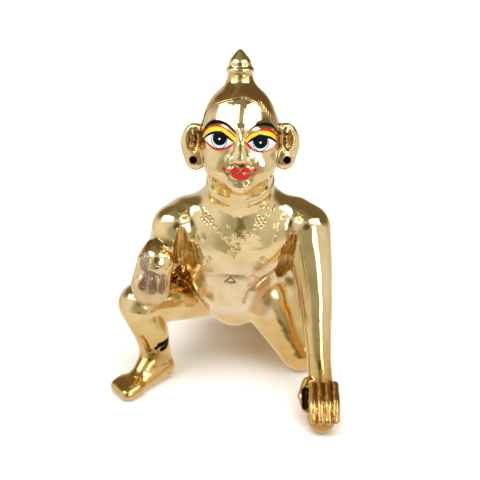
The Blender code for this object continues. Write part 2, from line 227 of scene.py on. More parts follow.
def left_leg():
    knee, ankle, toes = Vector(LEFT_KNEE), Vector(LEFT_ANKLE), Vector(LEFT_TOES)
    calf = between(knee, ankle, 0.4)
    forms = [
        limb((9.0, 4.0, 18.5), LEFT_HIP, 8.5, 8.8, 2.0),
        limb(LEFT_HIP, knee, 8.8, 6.0, 1.0),
        chain([(knee, 6.0), (calf, 5.6), (ankle, 3.9), (ankle + Vector((-0.5, 4.2, 1.0)), 3.5)], 0.6),
        limb(ankle + Vector((-0.5, 3.5, 0.2)), toes, 3.6, 2.4, 1.0),
        limb(toes + Vector((-1.4, -2.0, 0.3)), toes + Vector((1.4, -2.0, 0.3)), 2.2, 2.2, 1.0),
    ]
    for toe in range(5):
        root = toes + Vector((1.45 * (toe - 2), -1.0, 0.2))
        tip = root + Vector((-0.1, 4.0 - 0.35 * (4 - toe), 0.1))
        forms.append(limb(root, tip, 1.5, 1.45 if toe == 4 else 1.1, 0.3))
    return forms


def right_arm():
    fist, sweet = Vector(RIGHT_FIST), Vector(SWEET)
    return [
        chain([(RIGHT_SHOULDER, 7.0), (RIGHT_ELBOW, 5.5), (fist + Vector((0.6, 4.5, 0.5)), 4.4)], 1.5),
        ball(sweet, (5.2, 5.2, 5.2), 0.6),
        limb(fist + Vector((0.1, 0.5, 0.5)), sweet + Vector((-0.2, 0.5, -0.8)), 5.4, 5.0, 0.4),
        ball(fist, (5.6, 5.6, 6.1), 0.3),
        limb(fist + Vector((-3.8, -0.4, 0.8)), (-26.7, -15.9, 39.6), 1.7, 1.4, 0.5),
        limb((-23.8, -13.4, 42.5), (-19.4, -13.4, 43.0), 1.9, 1.8, 1.2),
    ]


def finger_slots():
    """Deep file cuts that part the fingers of the raised fist."""
    forms = []
    for place, slant in (((-26.1, -20.8, 35.6), 0.6), ((-23.4, -21.6, 34.9), 0.4), ((-20.8, -20.9, 34.6), 0.3)):
        centre, along = Vector(place), Vector((slant, 0.5, 1.5))
        forms.append(limb(centre - along, centre + along, 0.95, 0.85, 0.1, carve=True))
    return forms


def left_arm():
    knuckles = Vector(LEFT_KNUCKLES)
    forearm = between(LEFT_ELBOW, LEFT_WRIST, 0.55)
    palm = knuckles + Vector((0.0, 3.6, -4.0))
    forms = [
        chain([(LEFT_SHOULDER, 7.0), (LEFT_ELBOW, 4.9), (forearm, 3.9), (LEFT_WRIST, 3.4), (palm, 3.4)], 1.5),
        limb(palm + Vector((-1.5, 0.8, 0.6)), palm + Vector((-1.5, -4.5, 1.2)), 2.8, 2.8, 1.0),
        limb(palm + Vector((1.5, 0.8, 0.6)), palm + Vector((1.5, -4.5, 1.2)), 2.8, 2.8, 1.0),
        ball(knuckles + Vector((-0.2, -5.9, -4.8)), (4.1, 4.6, 4.4), 0.5),
    ]
    for finger in range(4):
        across = 0.4 + (finger - 1.5) * 2.12
        middle = 0.5 - 0.22 * (finger - 1.5) ** 2
        start = knuckles + Vector((across, 1.4, 0.9 + 0.3 * middle))
        bend = knuckles + Vector((across, -5.4 - middle, -0.2))
        tip = knuckles + Vector((across * 0.97, -9.6 - middle, -3.4))
        forms.append(chain([(start, 1.15), (bend, 1.15), (tip, 1.05)], 0.2))
    base = knuckles + Vector((-3.8, 4.4, -0.6))
    joint = knuckles + Vector((-5.5, 0.2, -2.0))
    forms.append(limb(base, joint, 1.8, 1.4, 0.6))
    forms.append(limb(joint, knuckles + Vector((-4.7, -3.6, -3.6)), 1.4, 1.2, 0.4))
    forms.append(limb((18.8, -34.7, 8.2), (18.6, -39.3, 6.0), 0.65, 0.55, 0.15, carve=True))
    return forms


HEAD_TURN = turned(pitch=-HEAD_LEAN)


def head_place(side, forward, up):
    """A point given on the head's own axes: to the viewer's right, out of the face and up to the crown."""
    return Vector(HEAD_CENTRE) + HEAD * (HEAD_TURN @ Vector((side, -forward, up)))


def head_ball(place, radii, blend, yaw=0.0, carve=False):
    turn = HEAD_TURN @ turned(yaw=math.radians(yaw))
    return ball(head_place(*place), [HEAD * radius for radius in radii], blend, turn, carve)


def head_limb(start, end, start_radius, end_radius, blend, carve=False):
    return limb(head_place(*start), head_place(*end), HEAD * start_radius, HEAD * end_radius, blend, carve)


def head():
    forms = [
        head_ball((0, -1.5, 2.0), (11.4, 12.3, 13.2), 2.0),
        head_ball((0, -1.4, 7.4), (9.8, 10.2, 9.2), 1.0),
        head_ball((0, 2.2, -3.4), (10.4, 9.2, 11.6), 3.0),
        head_ball((0, 8.3, -11.2), (3.8, 3.0, 2.9), 2.0),
    ]
    for side in (-1, 1):
        forms.append(head_ball((4.9 * side, 6.2, -6.0), (4.8, 4.2, 4.8), 3.0))
        forms.append(head_ball((5.4 * side, 7.7, 2.0), (4.2, 2.6, 2.9), 2.5))
    forms.append(head_limb((0, 10.2, 4.0), (0, 11.9, -3.2), 1.0, 1.9, 1.6))
    for side in (-1, 1):
        forms.append(head_ball((2.1 * side, 11.0, -4.0), (1.7, 1.6, 1.3), 0.9))
    for side in (-1.55, 1.55):
        forms.append(head_ball((side, 11.1, -6.6), (2.1, 1.0, 0.9), 0.5))
    forms.append(head_ball((0.0, 10.9, -8.4), (2.7, 1.2, 1.1), 0.5))
    forms.append(head_limb((0, -1, 13.2), (0, -1, 18.4), 5.0, 3.4, 1.5))
    forms.append(ring(head_place(0, -1, 20.3), HEAD * 3.05, HEAD * 0.95, 0.4, HEAD_TURN))
    forms.append(head_limb((0, -1, 21.6), (0, -1, 25.1), 3.2, 1.0, 0.3))
    return forms + ears()


def ears():
    """Cupped shells with a rim and an inner ridge, and a hole drilled into the lobe."""
    forms = []
    for side in (-1, 1):
        forms.append(head_ball((12.9 * side, -1.0, -0.8), (4.3, 1.8, 6.0), 0.8, yaw=18 * side))
        forms.append(head_ball((12.8 * side, -0.7, -5.2), (3.1, 1.8, 3.2), 0.8, yaw=18 * side))
    for side in (-1, 1):
        forms.append(head_ball((13.6 * side, 1.8, 0.9), (2.6, 2.6, 4.3), 0.2, yaw=18 * side, carve=True))
        forms.append(head_limb((13.3 * side, -0.4, 3.2), (13.2 * side, -0.2, -1.6), 0.6, 0.6, 0.4))
        forms.append(head_limb((13.6 * side, 4.0, -5.4), (13.4 * side, -0.4, -5.4), 0.85, 0.85, 0.15, carve=True))
    return forms


def neck():
    forms = [limb(NECK_BASE, NECK_TOP, 10.2, 8.2, 4.5)]
    for fold, radius in enumerate((8.2, 9.0)):
        tilt = turned(pitch=math.radians(15))
        forms.append(ring((0.6, -7.8, 62.3 - 1.9 * fold), radius, 0.55, 1.2, tilt))
    return forms


FORMS = torso() + left_leg() + right_leg() + neck() + left_arm() + right_arm() + armpits() + finger_slots() + head()
REACHES = [reach_of(*shape[:3]) for shape in FORMS]


def soft_union(a, b, blend):
    if blend <= 0:
        return np.minimum(a, b)
    overlap = np.maximum(blend - np.abs(a - b), 0.0) / blend
    return np.minimum(a, b) - overlap**2 * blend / 4.0


def cast_distance(points, near=NEAR):
    """How far each point lies outside the casting's skin; negative inside it."""
    found = np.full(len(points), near)
    for (kind, centre, sizes, blend, turn, carve), reach in zip(FORMS, REACHES):
        offset = points - centre
        close = np.einsum("ij,ij->i", offset, offset) < (reach + blend + near) ** 2
        if not close.any():
            continue
        local = points[close] if kind == "chain" else offset[close] @ turn
        away = DISTANCES[kind](local, sizes)
        if carve:
            found[close] = -soft_union(-found[close], away, blend)
        else:
            found[close] = soft_union(found[close], away, blend)
    return found


# Chasing: lines and shapes in the head's own plane, given as (side, up)

HAIRLINE = np.array([
    (-11.6, 2.0), (-9.5, 9.0), (-7.8, 10.3), (-6.0, 11.4), (-3.9, 12.2), (-2.1, 12.5), (-0.7, 12.8), (0.7, 13.1),
    (2.1, 12.9), (3.3, 12.2), (4.9, 11.4), (5.9, 10.4), (7.1, 9.0), (8.3, 7.6), (9.7, 5.7), (11.3, 2.5),
])
MARK_LEFT = [(-0.64, 11.3), (-0.78, 10.0), (-0.91, 8.3), (-0.91, 6.6), (-0.73, 5.0), (-0.41, 3.3), (-0.03, 1.95)]
MARK_RIGHT = [(2.09, 11.3), (1.77, 10.0), (1.52, 8.3), (1.42, 6.6), (1.38, 4.9), (1.24, 3.3), (0.94, 1.92)]
MARK_LEAF = [
    (-0.52, 1.23), (-0.99, 0.39), (-1.26, -0.66), (-0.9, -1.72), (-0.52, -2.45), (-0.29, -3.4), (0.18, -3.67),
    (0.67, -3.32), (0.88, -2.47), (1.41, -1.61), (1.64, -0.71), (1.41, 0.34), (1.03, 1.23),
]
NOSTRILS = [
    (-2.49, -5.81), (-2.0, -5.11), (-1.26, -4.99), (-0.56, -5.49), (0.33, -5.72), (1.03, -5.53), (1.73, -4.99),
    (2.35, -5.0), (3.0, -5.81),
]
NOSE_LEFT = [
    (-1.17, 0.79), (-1.64, -0.37), (-1.78, -1.25), (-2.49, -2.29), (-3.41, -3.4), (-3.62, -4.51), (-3.02, -5.42),
]
NOSE_RIGHT = [(1.73, -0.72), (2.26, -2.27), (2.87, -3.34), (3.53, -4.3), (3.53, -4.97)]
LIP_LINE = [(-3.73, -7.15), (-3.03, -7.46), (-1.79, -7.68), (-0.38, -7.74), (1.03, -7.72), (2.44, -7.68), (3.24, -7.54)]
CHIN = (0.15, -10.85)

# Punched necklace, as (x, z) on the chest
DOTS = [
    (-9.8, 53.0), (-9.7, 52.1), (-8.8, 52.5), (-9.9, 51.3), (-7.8, 52.2), (-8.8, 51.6), (-9.3, 50.7), (-8.2, 51.3),
    (-7.3, 51.6), (-8.6, 50.3), (-7.5, 50.7), (-6.7, 50.0), (-5.5, 48.9), (-4.0, 47.5), (-2.5, 46.1), (-0.1, 44.9),
    (-1.4, 44.0), (-2.2, 43.1), (-0.8, 42.3), (0.3, 43.4), (-1.2, 41.5), (-0.6, 43.3), (1.7, 46.9), (3.0, 48.4),
    (4.7, 50.2), (5.8, 52.9), (6.8, 52.8), (5.2, 52.0), (6.4, 51.8), (7.5, 51.5), (5.7, 51.0), (7.1, 50.7),
    (6.4, 50.2), (8.5, 52.9), (9.8, 53.8), (6.0, 55.9), (6.9, 55.5), (8.2, 54.9), (12.6, 51.0), (-2.5, 50.8),
    (-1.0, 48.4),
]
DOT_RADIUS, DOT_DEPTH = 0.44, 0.20
RINGS = [(-10.3, 46.0, 1.05), (-8.3, 39.5, 0.75), (7.0, 39.6, 0.75)]
NICKS = [
    [(9.9, 50.1), (9.9, 49.1)], [(11.0, 49.9), (10.7, 49.1)], [(10.7, 48.3), (10.4, 46.9)],
    [(10.1, 46.0), (10.0, 44.9)],
]
NAVEL = [[(-3.8, 32.7), (-2.0, 34.4), (-0.7, 32.8), (-3.8, 32.7)], [(-2.5, 34.6), (-1.3, 34.8)]]
BELLY_CREASE = [(12.0, 36.5), (10.9, 34.5), (6.5, 32.1), (3.1, 29.3), (1.7, 25.4)]


def smooth(x, low, high):
    t = np.clip((x - low) / (high - low), 0.0, 1.0)
    return t * t * (3.0 - 2.0 * t)


def to_line(p, line):
    """Distance of flat points to a line of straight parts."""
    line = np.array(line, float)
    found = np.full(len(p), np.inf)
    for start, end in zip(line[:-1], line[1:]):
        along = end - start
        share = np.clip((p - start) @ along / max(along @ along, 1e-9), 0.0, 1.0)
        found = np.minimum(found, np.linalg.norm(p - start - share[:, None] * along, axis=1))
    return found


def to_outline(p, outline):
    """Distance of flat points to a closed outline; negative inside it."""
    closed = [*outline, outline[0]]
    away = to_line(p, closed)
    inside = np.zeros(len(p), bool)
    for (x0, y0), (x1, y1) in zip(closed[:-1], closed[1:]):
        crosses = (y0 > p[:, 1]) != (y1 > p[:, 1])
        if y0 != y1:
            inside ^= crosses & (p[:, 0] < (x1 - x0) * (p[:, 1] - y0) / (y1 - y0) + x0)
    return np.where(inside, -away, away)


EAR_SIDE = 11.6  # how far out the ears start
TOPKNOT_BASE = 19.6  # the height where the hair ends and the topknot starts


def head_axes(points):
    """Side, up and forward on the head, whose drawing is in these three."""
    local = (points - np.array(HEAD_CENTRE)) @ np.array(HEAD_TURN) / HEAD
    return local[:, 0], local[:, 2], -local[:, 1]


def over_hairline(side, up):
    return up - np.interp(side, HAIRLINE[:, 0], HAIRLINE[:, 1])


def chased_head(points):
    raised = np.zeros(len(points))
    side, up, forward = head_axes(points)
    near = (forward > -2.0) & (np.hypot(side, forward + 1.5) < 15) & (up > -14) & (up < 18)
    if not near.any():
        return raised
    s, u, f = side[near], up[near], forward[near]
    flat = np.stack([s, u], axis=1)
    front = smooth(f, 2.0, 4.0)
    over = over_hairline(s, u)
    hair = 0.24 * smooth(over, -0.3, 0.4) * smooth(f, -1.8, 0.5) * (1 - smooth(over, 2.0, 5.0)) * (np.abs(s) < EAR_SIDE)
    stroke = 0.5 + 0.5 * np.cos(2 * np.pi * s / 0.66)
    band = smooth(over, 0.15, 0.4) * (1 - smooth(over, 0.9, 1.7)) * smooth(f, 0.5, 3.0)
    total = hair - 0.07 * stroke**2 * band
    for line in (MARK_LEFT, MARK_RIGHT):
        total += front * 0.17 * np.exp(-(to_line(flat, line) / 0.44) ** 2)
    leaf = to_outline(flat, MARK_LEAF)
    total += front * 0.20 * smooth(-leaf, -0.25, 0.6)
    total -= front * 0.11 * np.exp(-(to_line(flat, NOSTRILS) / 0.22) ** 2)
    for line in (NOSE_LEFT, NOSE_RIGHT):
        total -= front * 0.08 * np.exp(-(to_line(flat, line) / 0.28) ** 2)
    total -= front * 0.13 * np.exp(-(to_line(flat, LIP_LINE) / 0.20) ** 2)
    chin = np.hypot((s - CHIN[0]) / 2.1, (u - CHIN[1]) / 0.72)
    total -= front * 0.30 * (1 - smooth(chin, 0.55, 1.05))
    raised[near] = total
    return raised


def on_chest(points):
    """Which points lie on the front of the body, between the legs and the neck."""
    return (points[:, 1] < -8) & (points[:, 2] > 22) & (points[:, 2] < 58) & (np.abs(points[:, 0]) < 14)


def chased_chest(points):
    raised = np.zeros(len(points))
    near = on_chest(points)
    if not near.any():
        return raised
    flat = points[near][:, [0, 2]]
    total = np.zeros(len(flat))
    for dot in DOTS:
        away = np.linalg.norm(flat - dot, axis=1) / DOT_RADIUS
        total += 0.07 * np.exp(-((away - 1.25) / 0.35) ** 2) - DOT_DEPTH * (1 - smooth(away, 0.0, 1.05))
    for x, z, radius in RINGS:
        away = np.hypot(flat[:, 0] - x, (flat[:, 1] - z) * 0.85)
        total += 0.12 * np.exp(-((away - radius) / 0.24) ** 2) - 0.10 * np.exp(-((away - radius + 0.45) / 0.22) ** 2)
    for line in NICKS:
        total -= 0.12 * np.exp(-(to_line(flat, line) / 0.22) ** 2)
    for line in NAVEL:
        total -= 0.16 * np.exp(-(to_line(flat, line) / 0.17) ** 2)
    total -= 0.28 * np.exp(-(to_line(flat, BELLY_CREASE) / 0.6) ** 2)
    raised[near] = total
    return raised


# Flat places that a file left, each a limb that fades over the last number
THUMB_PATCH = ((-25.6, -17.6, 41.2), (-25.8, -18.2, 38.9), 1.5, 1.5, 0.3)
LEFT_LUMP = ((-18.4, -13.4, 45.0), (-18.3, -13.6, 41.8), 0.9, 1.1, 0.4)
SWEET_TOP = ((-25.6, -13.8, 43.2), (-19.8, -13.8, 43.6), 1.3, 1.3, 1.2)
RIGHT_LUMP = ((-12.9, -14.8, 44.2), (-10.6, -14.0, 38.4), 0.7, 1.3, 0.4)
ARM_WALL = ((16.4, -15.6, 42.0), (17.8, -22.6, 24.0), 1.7, 2.2, 0.9)
FINGER_BACKS = ((23.9, -36.5, 9.6), (23.7, -44.5, 6.3), 3.6, 3.6, 0.8)
HIP_PATCH = ((8.0, -15.0, 31.0), (6.0, -13.0, 22.0), 1.4, 2.2, 1.8)
FIST_TOP, FIST_MIDDLE, FIST_FRONT = (-24.0, -17.0, 38.0), (-24.2, -18.0, 32.0), (-24.2, -18.0, 30.0)
BALL_MIDDLE = (23.3, -41.4, 3.0)  # of the ball under the left hand
FIST_RIDGE = [
    (-28.2, -17.5, 37.1), (-26.2, -18.5, 38.7), (-24.2, -19.3, 40.2), (-22.1, -19.5, 40.2), (-19.6, -18.0, 36.4),
]
WRIST_NICKS = [
    [(22.7, -28.8, 15.0), (24.4, -29.2, 15.7), (25.9, -28.4, 15.8)],
    [(25.4, -28.6, 13.2), (26.6, -28.0, 12.8)],
]
ANKLE_FOLDS = [
    [(-28.4, -15.6, 8.0), (-27.6, -17.0, 6.4), (-25.8, -18.4, 6.2)],
    [(-24.9, -19.6, 4.9), (-22.4, -18.6, 2.9), (-19.6, -16.6, 2.0)],
]


def away_from(points, place):
    return np.linalg.norm(points - np.array(place), axis=1)


def limb_away(points, start, end, first, last):
    _, centre, sizes, _, turn, _ = limb(start, end, first, last, 0)
    return limb_distance((points - centre) @ turn, sizes)


def patch(points, start, end, first, last, fade):
    """How far each point belongs to a patch that is drawn as a limb."""
    return 1 - smooth(limb_away(points, start, end, first, last), 0.0, fade)


def wall_of(points, carved):
    """How far each point belongs to the wall that these carved forms left."""
    found = np.zeros(len(points))
    for kind, centre, sizes, _, turn, _ in carved:
        away = np.abs(DISTANCES[kind]((points - centre) @ turn, sizes))
        found = np.maximum(found, 1 - smooth(away, 0.30, 0.55))
    return found


POCKETS, SLOTS = armpits(), finger_slots()
THUMB_HOLLOW = [shape for shape in left_arm() if shape[5]]
EAR_CUPS = [shape for shape in ears() if shape[5] and shape[0] == "ball"]
LOBE_HOLES = [shape for shape in ears() if shape[5] and shape[0] == "limb"]


def filed_share(points):
    found = wall_of(points, POCKETS + SLOTS)
    for place, share in (
        (THUMB_PATCH, 0.8), (LEFT_LUMP, 0.6), (RIGHT_LUMP, 0.8), (ARM_WALL, 0.3), (FINGER_BACKS, 0.4),
    ):
        found = np.maximum(found, share * patch(points, *place))
    return found


def filed_marks(points):
    """Long shallow cuts that run down the hollows, wide ones with finer ones between."""
    share = filed_share(points)
    across = points[:, 0] + 0.25 * points[:, 1] + 0.06 * points[:, 2]
    wave = np.sin(across * 4.1) + 0.7 * np.sin(across * 7.3 + 0.11 * points[:, 2]) + 0.4 * np.sin(across * 12.1 + 1.0)
    return 0.06 * share * wave


def chased_limbs(points):
    """The fold of the fist's fingers, the file flats beside the right armpit and the folds of wrist and ankle."""
    total = np.zeros(len(points))
    fist = away_from(points, FIST_TOP) < 9
    total[fist] += 0.34 * np.exp(-(to_line(points[fist], FIST_RIDGE) / 0.42) ** 2)
    total += 0.35 * patch(points, *LEFT_LUMP[:4], 0.7) + 0.45 * patch(points, *RIGHT_LUMP[:4], 0.7)
    low = (points[:, 2] < 18) & (points[:, 1] < -10)
    for line in ANKLE_FOLDS + WRIST_NICKS:
        total[low] -= 0.16 * np.exp(-(to_line(points[low], line) / 0.28) ** 2)
    return total


# Swells of the hand filing, as length and height
SWELLS = ((13.0, 0.07), (13.0, 0.07), (9.0, 0.04), (9.0, 0.04), (5.0, 0.014), (5.0, 0.014), (2.6, 0.004))


def hand_finish(points):
    """Slow swells that hand filing and buffing leave in the polished skin."""
    rng = np.random.default_rng(7)
    total = np.zeros(len(points))
    for length, height in SWELLS:
        way = rng.normal(size=3)
        way *= 2 * np.pi / (length * np.linalg.norm(way))
        total += height * np.sin(points @ way + rng.uniform(0, 2 * np.pi))
    return total


def chased_distance(points):
    raised = chased_head(points) + chased_chest(points) + chased_limbs(points) + filed_marks(points)
    raised += hand_finish(points)
    return cast_distance(points) - raised


def slope_of(distance, points, probe=0.02):
    here = distance(points)
    slope = np.empty_like(points)
    for axis in range(3):
        shifted = points.copy()
        shifted[:, axis] += probe
        slope[:, axis] = (distance(shifted) - here) / probe
    return here, slope


def settle(points, distance, steps):
    """Moves the points of the skin onto the drawn surface, along the way that the distance falls fastest."""
    for _ in range(steps):
        here, slope = slope_of(distance, points)
        steepness = np.maximum((slope**2).sum(axis=1), 0.3)
        points = points + np.clip(-(here / steepness)[:, None] * slope, -0.4, 0.4)
    return points


# Mesh work


def deselect():
    bpy.ops.object.select_all(action="DESELECT")


def activate(obj):
    deselect()
    obj.select_set(True)
    bpy.context.view_layer.objects.active = obj


def get_points(mesh):
    points = np.empty(len(mesh.vertices) * 3, np.float32)
    mesh.vertices.foreach_get("co", points)
    return points.reshape(-1, 3).astype(float)


def set_points(mesh, points):
    mesh.vertices.foreach_set("co", points.astype(np.float32).ravel())
    mesh.update()


def to_metres(points):
    return (points - DRAWN_MIDDLE) * UNIT


def wanted_edge(points):
    """The longest edge that the skin may have here: short only where there is something small to show."""
    edge = np.full(len(points), 0.78)
    side, up, forward = head_axes(points)
    on_face = (forward > 2.0) & (np.abs(side) < 11.5) & (np.abs(up) < 14)
    edge[on_face] = 0.48
    over = over_hairline(side, up)
    edge[(forward > 0) & (np.abs(side) < EAR_SIDE) & (over > -0.3) & (over < 2.4)] = 0.20
    flat = np.stack([side, up], axis=1)[on_face]
    fine = np.full(len(flat), np.inf)
    for line in (MARK_LEFT, MARK_RIGHT, [*MARK_LEAF, MARK_LEAF[0]], NOSTRILS, NOSE_LEFT, NOSE_RIGHT, LIP_LINE):
        fine = np.minimum(fine, to_line(flat, line))
    edge[on_face] = np.where(fine < 0.8, 0.24, edge[on_face])
    chest = on_chest(points)
    flat = points[chest][:, [0, 2]]
    fine = np.full(len(flat), np.inf)
    for dot in DOTS:
        fine = np.minimum(fine, np.linalg.norm(flat - dot, axis=1) - 0.2)
    for x, z, radius in RINGS:
        fine = np.minimum(fine, np.abs(np.linalg.norm(flat - (x, z), axis=1) - radius + 0.2) - 0.2)
    for line in [*NICKS, *NAVEL]:
        fine = np.minimum(fine, to_line(flat, line))
    around = (fine < 1.1) | (to_line(flat, BELLY_CREASE) < 1)
    edge[chest] = np.where(fine < 0.5, 0.16, np.where(around, 0.38, edge[chest]))
    filed = filed_share(points) > 0.05
    edge[filed] = np.minimum(edge[filed], 0.45)
    holes = wall_of(points, SLOTS + LOBE_HOLES + THUMB_HOLLOW) > 0.05
    edge[holes] = 0.22
    low = (points[:, 2] < 18) & (points[:, 1] < -10)
    fine = np.full(int(low.sum()), np.inf)
    for line in ANKLE_FOLDS + WRIST_NICKS:
        fine = np.minimum(fine, to_line(points[low], line))
    edge[low] = np.where(fine < 0.6, 0.24, edge[low])
    stained = away_from(points, STAIN_MIDDLE) < 4.2
    edge[stained] = 0.26
    return edge


def split_long_edges(obj):
    """One round of cutting every edge that is longer than the skin there may have."""
    mesh = obj.data
    points = get_points(mesh)
    ends = np.empty(len(mesh.edges) * 2, int)
    mesh.edges.foreach_get("vertices", ends)
    ends = ends.reshape(-1, 2)
    length = np.linalg.norm(points[ends[:, 0]] - points[ends[:, 1]], axis=1)
    middle = (points[ends[:, 0]] + points[ends[:, 1]]) / 2
    long = length > 1.3 * wanted_edge(middle)
    mesh.vertices.foreach_set("select", np.zeros(len(mesh.vertices), bool))
    mesh.polygons.foreach_set("select", np.zeros(len(mesh.polygons), bool))
    mesh.edges.foreach_set("select", long)
    activate(obj)
    bpy.ops.object.mode_set(mode="EDIT")
    bpy.ops.mesh.subdivide(number_cuts=1)
    bpy.ops.mesh.select_all(action="SELECT")
    bpy.ops.mesh.quads_convert_to_tris(quad_method="BEAUTY", ngon_method="BEAUTY")
    bpy.ops.object.mode_set(mode="OBJECT")


def finish_casting(node):
    """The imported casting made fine, settled and chased."""
    activate(node)
    bpy.ops.object.duplicate()
    idol = bpy.context.object
    idol.name = "brass_idol"
    for key in list(idol.keys()):
        del idol[key]
    idol.parent = None
    mesh = idol.data
    bpy.ops.object.mode_set(mode="EDIT")
    bpy.ops.mesh.select_all(action="SELECT")
    bpy.ops.mesh.remove_doubles(threshold=1e-6)
    bpy.ops.object.mode_set(mode="OBJECT")
    bpy.context.tool_settings.mesh_select_mode = (False, True, False)
    set_points(mesh, get_points(mesh) / UNIT + DRAWN_MIDDLE)
    for turn in range(7):
        split_long_edges(idol)
        points = get_points(mesh)
        free = points[:, 2] > 0.02
        if turn < 6:
            points[free] = settle(points[free], cast_distance, 1)
        else:
            points[free] = settle(points[free], chased_distance, 4)
        points[:, 2] = np.maximum(points[:, 2], 0.0)
        set_points(mesh, points)
    dress(mesh)
    return idol


# A black stain on the shin: its middle, its brown haze, and its strokes, each a line and a half-width
STAIN_MIDDLE = (-22.6, -17.4, 11.2)
HAZE_MIDDLE, HAZE_REACH = (-24.0, -17.6, 10.0), (4.4, 4.0, 3.4)
STAIN_STROKES = [
    ([(-20.0, -14.8, 12.3), (-21.0, -16.4, 12.2), (-22.4, -17.4, 12.1)], 0.85),
    ([(-20.2, -15.2, 11.4), (-20.8, -16.2, 10.6), (-21.8, -17.2, 10.4)], 0.80),
    ([(-22.4, -17.4, 11.9), (-23.4, -17.9, 11.2)], 0.62),
    ([(-24.7, -18.2, 10.7), (-24.9, -18.2, 10.5)], 0.40),
]


# Tones of the brass: buffed, and where patina, old polish or tarnish stays on it, with painted shade in the holes and
# punched dots and a painted reflection on the belly
TONES = {
    "buffed": "#F3DFB0", "low patina": "#DDB670", "hair": "#DDB374", "belly": "#F5E1C0", "hollow": "#AC7836",
    "fist": "#E8D2AE", "sweet": "#A87C3C", "ear cup": "#B58A4C", "arm wall": "#DBBA7C", "hip": "#BE8E44",
    "pocket": "#EACB86", "pocket floor": "#C9A052", "slot": "#BBA08E", "thumb patch": "#B7AA9A",
    "lump": "#B0935A", "fingers": "#B48440", "ball": "#C79650", "thumb hollow shade": "#3E2C18",
    "lobe hole shade": "#54221A", "cut": "#7A5228", "tarnish": "#E6CFA4", "file stroke": "#C39A5E",
    "stain haze": "#8F6428", "stain": "#120D08",
}


def lerp(colour, share, tone):
    """The colours moved towards a tone by each point's share."""
    return colour + (np.array(linear(TONES[tone])[:3]) - colour) * np.clip(share, 0, 1)[:, None]


def buffed_belly(points):
    """How far each point belongs to the satin belly, which ends in a clear line under the punched dots."""
    under = 1 - smooth(points[:, 2] + 0.012 * (points[:, 0] + 1) ** 2, 39.0, 40.6)
    front = smooth(-points[:, 1], 6, 11) * (1 - smooth(np.abs(points[:, 0]), 11.5, 13.5))
    return under * front * smooth(points[:, 2], 17, 20)


def metal_colour(points, normals):
    """The brass's colour at each point: bright where it was buffed, brown where old polish and tarnish stay, with
    painted shade in the thumb hollow, lobe holes and punched dots, and a painted reflection on the belly.
    """
    side, up, _ = head_axes(points)
    deep = np.clip(1 - cast_distance(points + normals * 1.6, 4.0) / 1.6, 0, 1)
    wide = np.clip(1 - cast_distance(points + normals * 3.6, 6.0) / 3.6, 0, 1)
    hollow = np.clip(0.6 * deep + 0.5 * wide, 0, 1)
    colour = np.tile(linear(TONES["buffed"])[:3], (len(points), 1))
    colour = lerp(colour, 0.85 * (1 - smooth(points[:, 2], 6, 34)), "low patina")
    hair = smooth(over_hairline(side, up), -0.2, 0.3) * (np.abs(side) < EAR_SIDE) * (up < TOPKNOT_BASE)
    colour = lerp(colour, 0.7 * hair, "hair")
    # The satin belly is painted paler: partly its satin finish, partly a painted reflection of the white paper below.
    colour = lerp(colour, buffed_belly(points), "belly")
    round_neck = 1 - smooth(limb_away(points, NECK_BASE, NECK_TOP, 9.5, 9.5), 0.0, 2.5)
    colour = lerp(colour, 0.7 * (1 - round_neck) * smooth(hollow, 0.3, 0.9), "hollow")
    fist = 1 - smooth(away_from(points, FIST_MIDDLE), 6.0, 8.5)
    colour = lerp(colour, 0.8 * fist, "fist")
    colour = lerp(colour, 0.75 * patch(points, *SWEET_TOP), "sweet")
    colour = lerp(colour, 0.8 * wall_of(points, EAR_CUPS), "ear cup")
    colour = lerp(colour, 0.7 * patch(points, *ARM_WALL), "arm wall")
    colour = lerp(colour, 0.6 * patch(points, *HIP_PATCH), "hip")
    pocket = wall_of(points, POCKETS)
    colour = lerp(colour, pocket, "pocket")
    colour = lerp(colour, 0.7 * pocket * smooth(deep + wide, 0.7, 1.5), "pocket floor")
    colour = lerp(colour, wall_of(points, SLOTS), "slot")
    colour = lerp(colour, patch(points, *THUMB_PATCH), "thumb patch")
    for lump in (LEFT_LUMP, RIGHT_LUMP):
        colour = lerp(colour, 0.9 * patch(points, *lump), "lump")
    colour = lerp(colour, 0.8 * patch(points, *FINGER_BACKS) * smooth(hollow, 0.1, 0.5), "fingers")
    ball_under = 1 - smooth(away_from(points, BALL_MIDDLE), 4.6, 5.2)
    colour = lerp(colour, 0.8 * ball_under * (points[:, 2] < 5.6), "ball")
    # The thumb hollow is painted near-black: painted shade in the cut between thumb and fingers.
    colour = lerp(colour, wall_of(points, THUMB_HOLLOW), "thumb hollow shade")
    # The lobe holes are painted dark red-brown: painted shade inside the drilled holes.
    colour = lerp(colour, smooth(wall_of(points, LOBE_HOLES), 0.75, 1.0), "lobe hole shade")
    fold = np.zeros(len(points))
    for line in ANKLE_FOLDS + WRIST_NICKS:
        fold = np.maximum(fold, 1 - smooth(to_line(points, line), 0.12, 0.45))
    return lerp(colour, np.maximum(0.8 * fold, 0.8 * cut_share(points)), "cut")


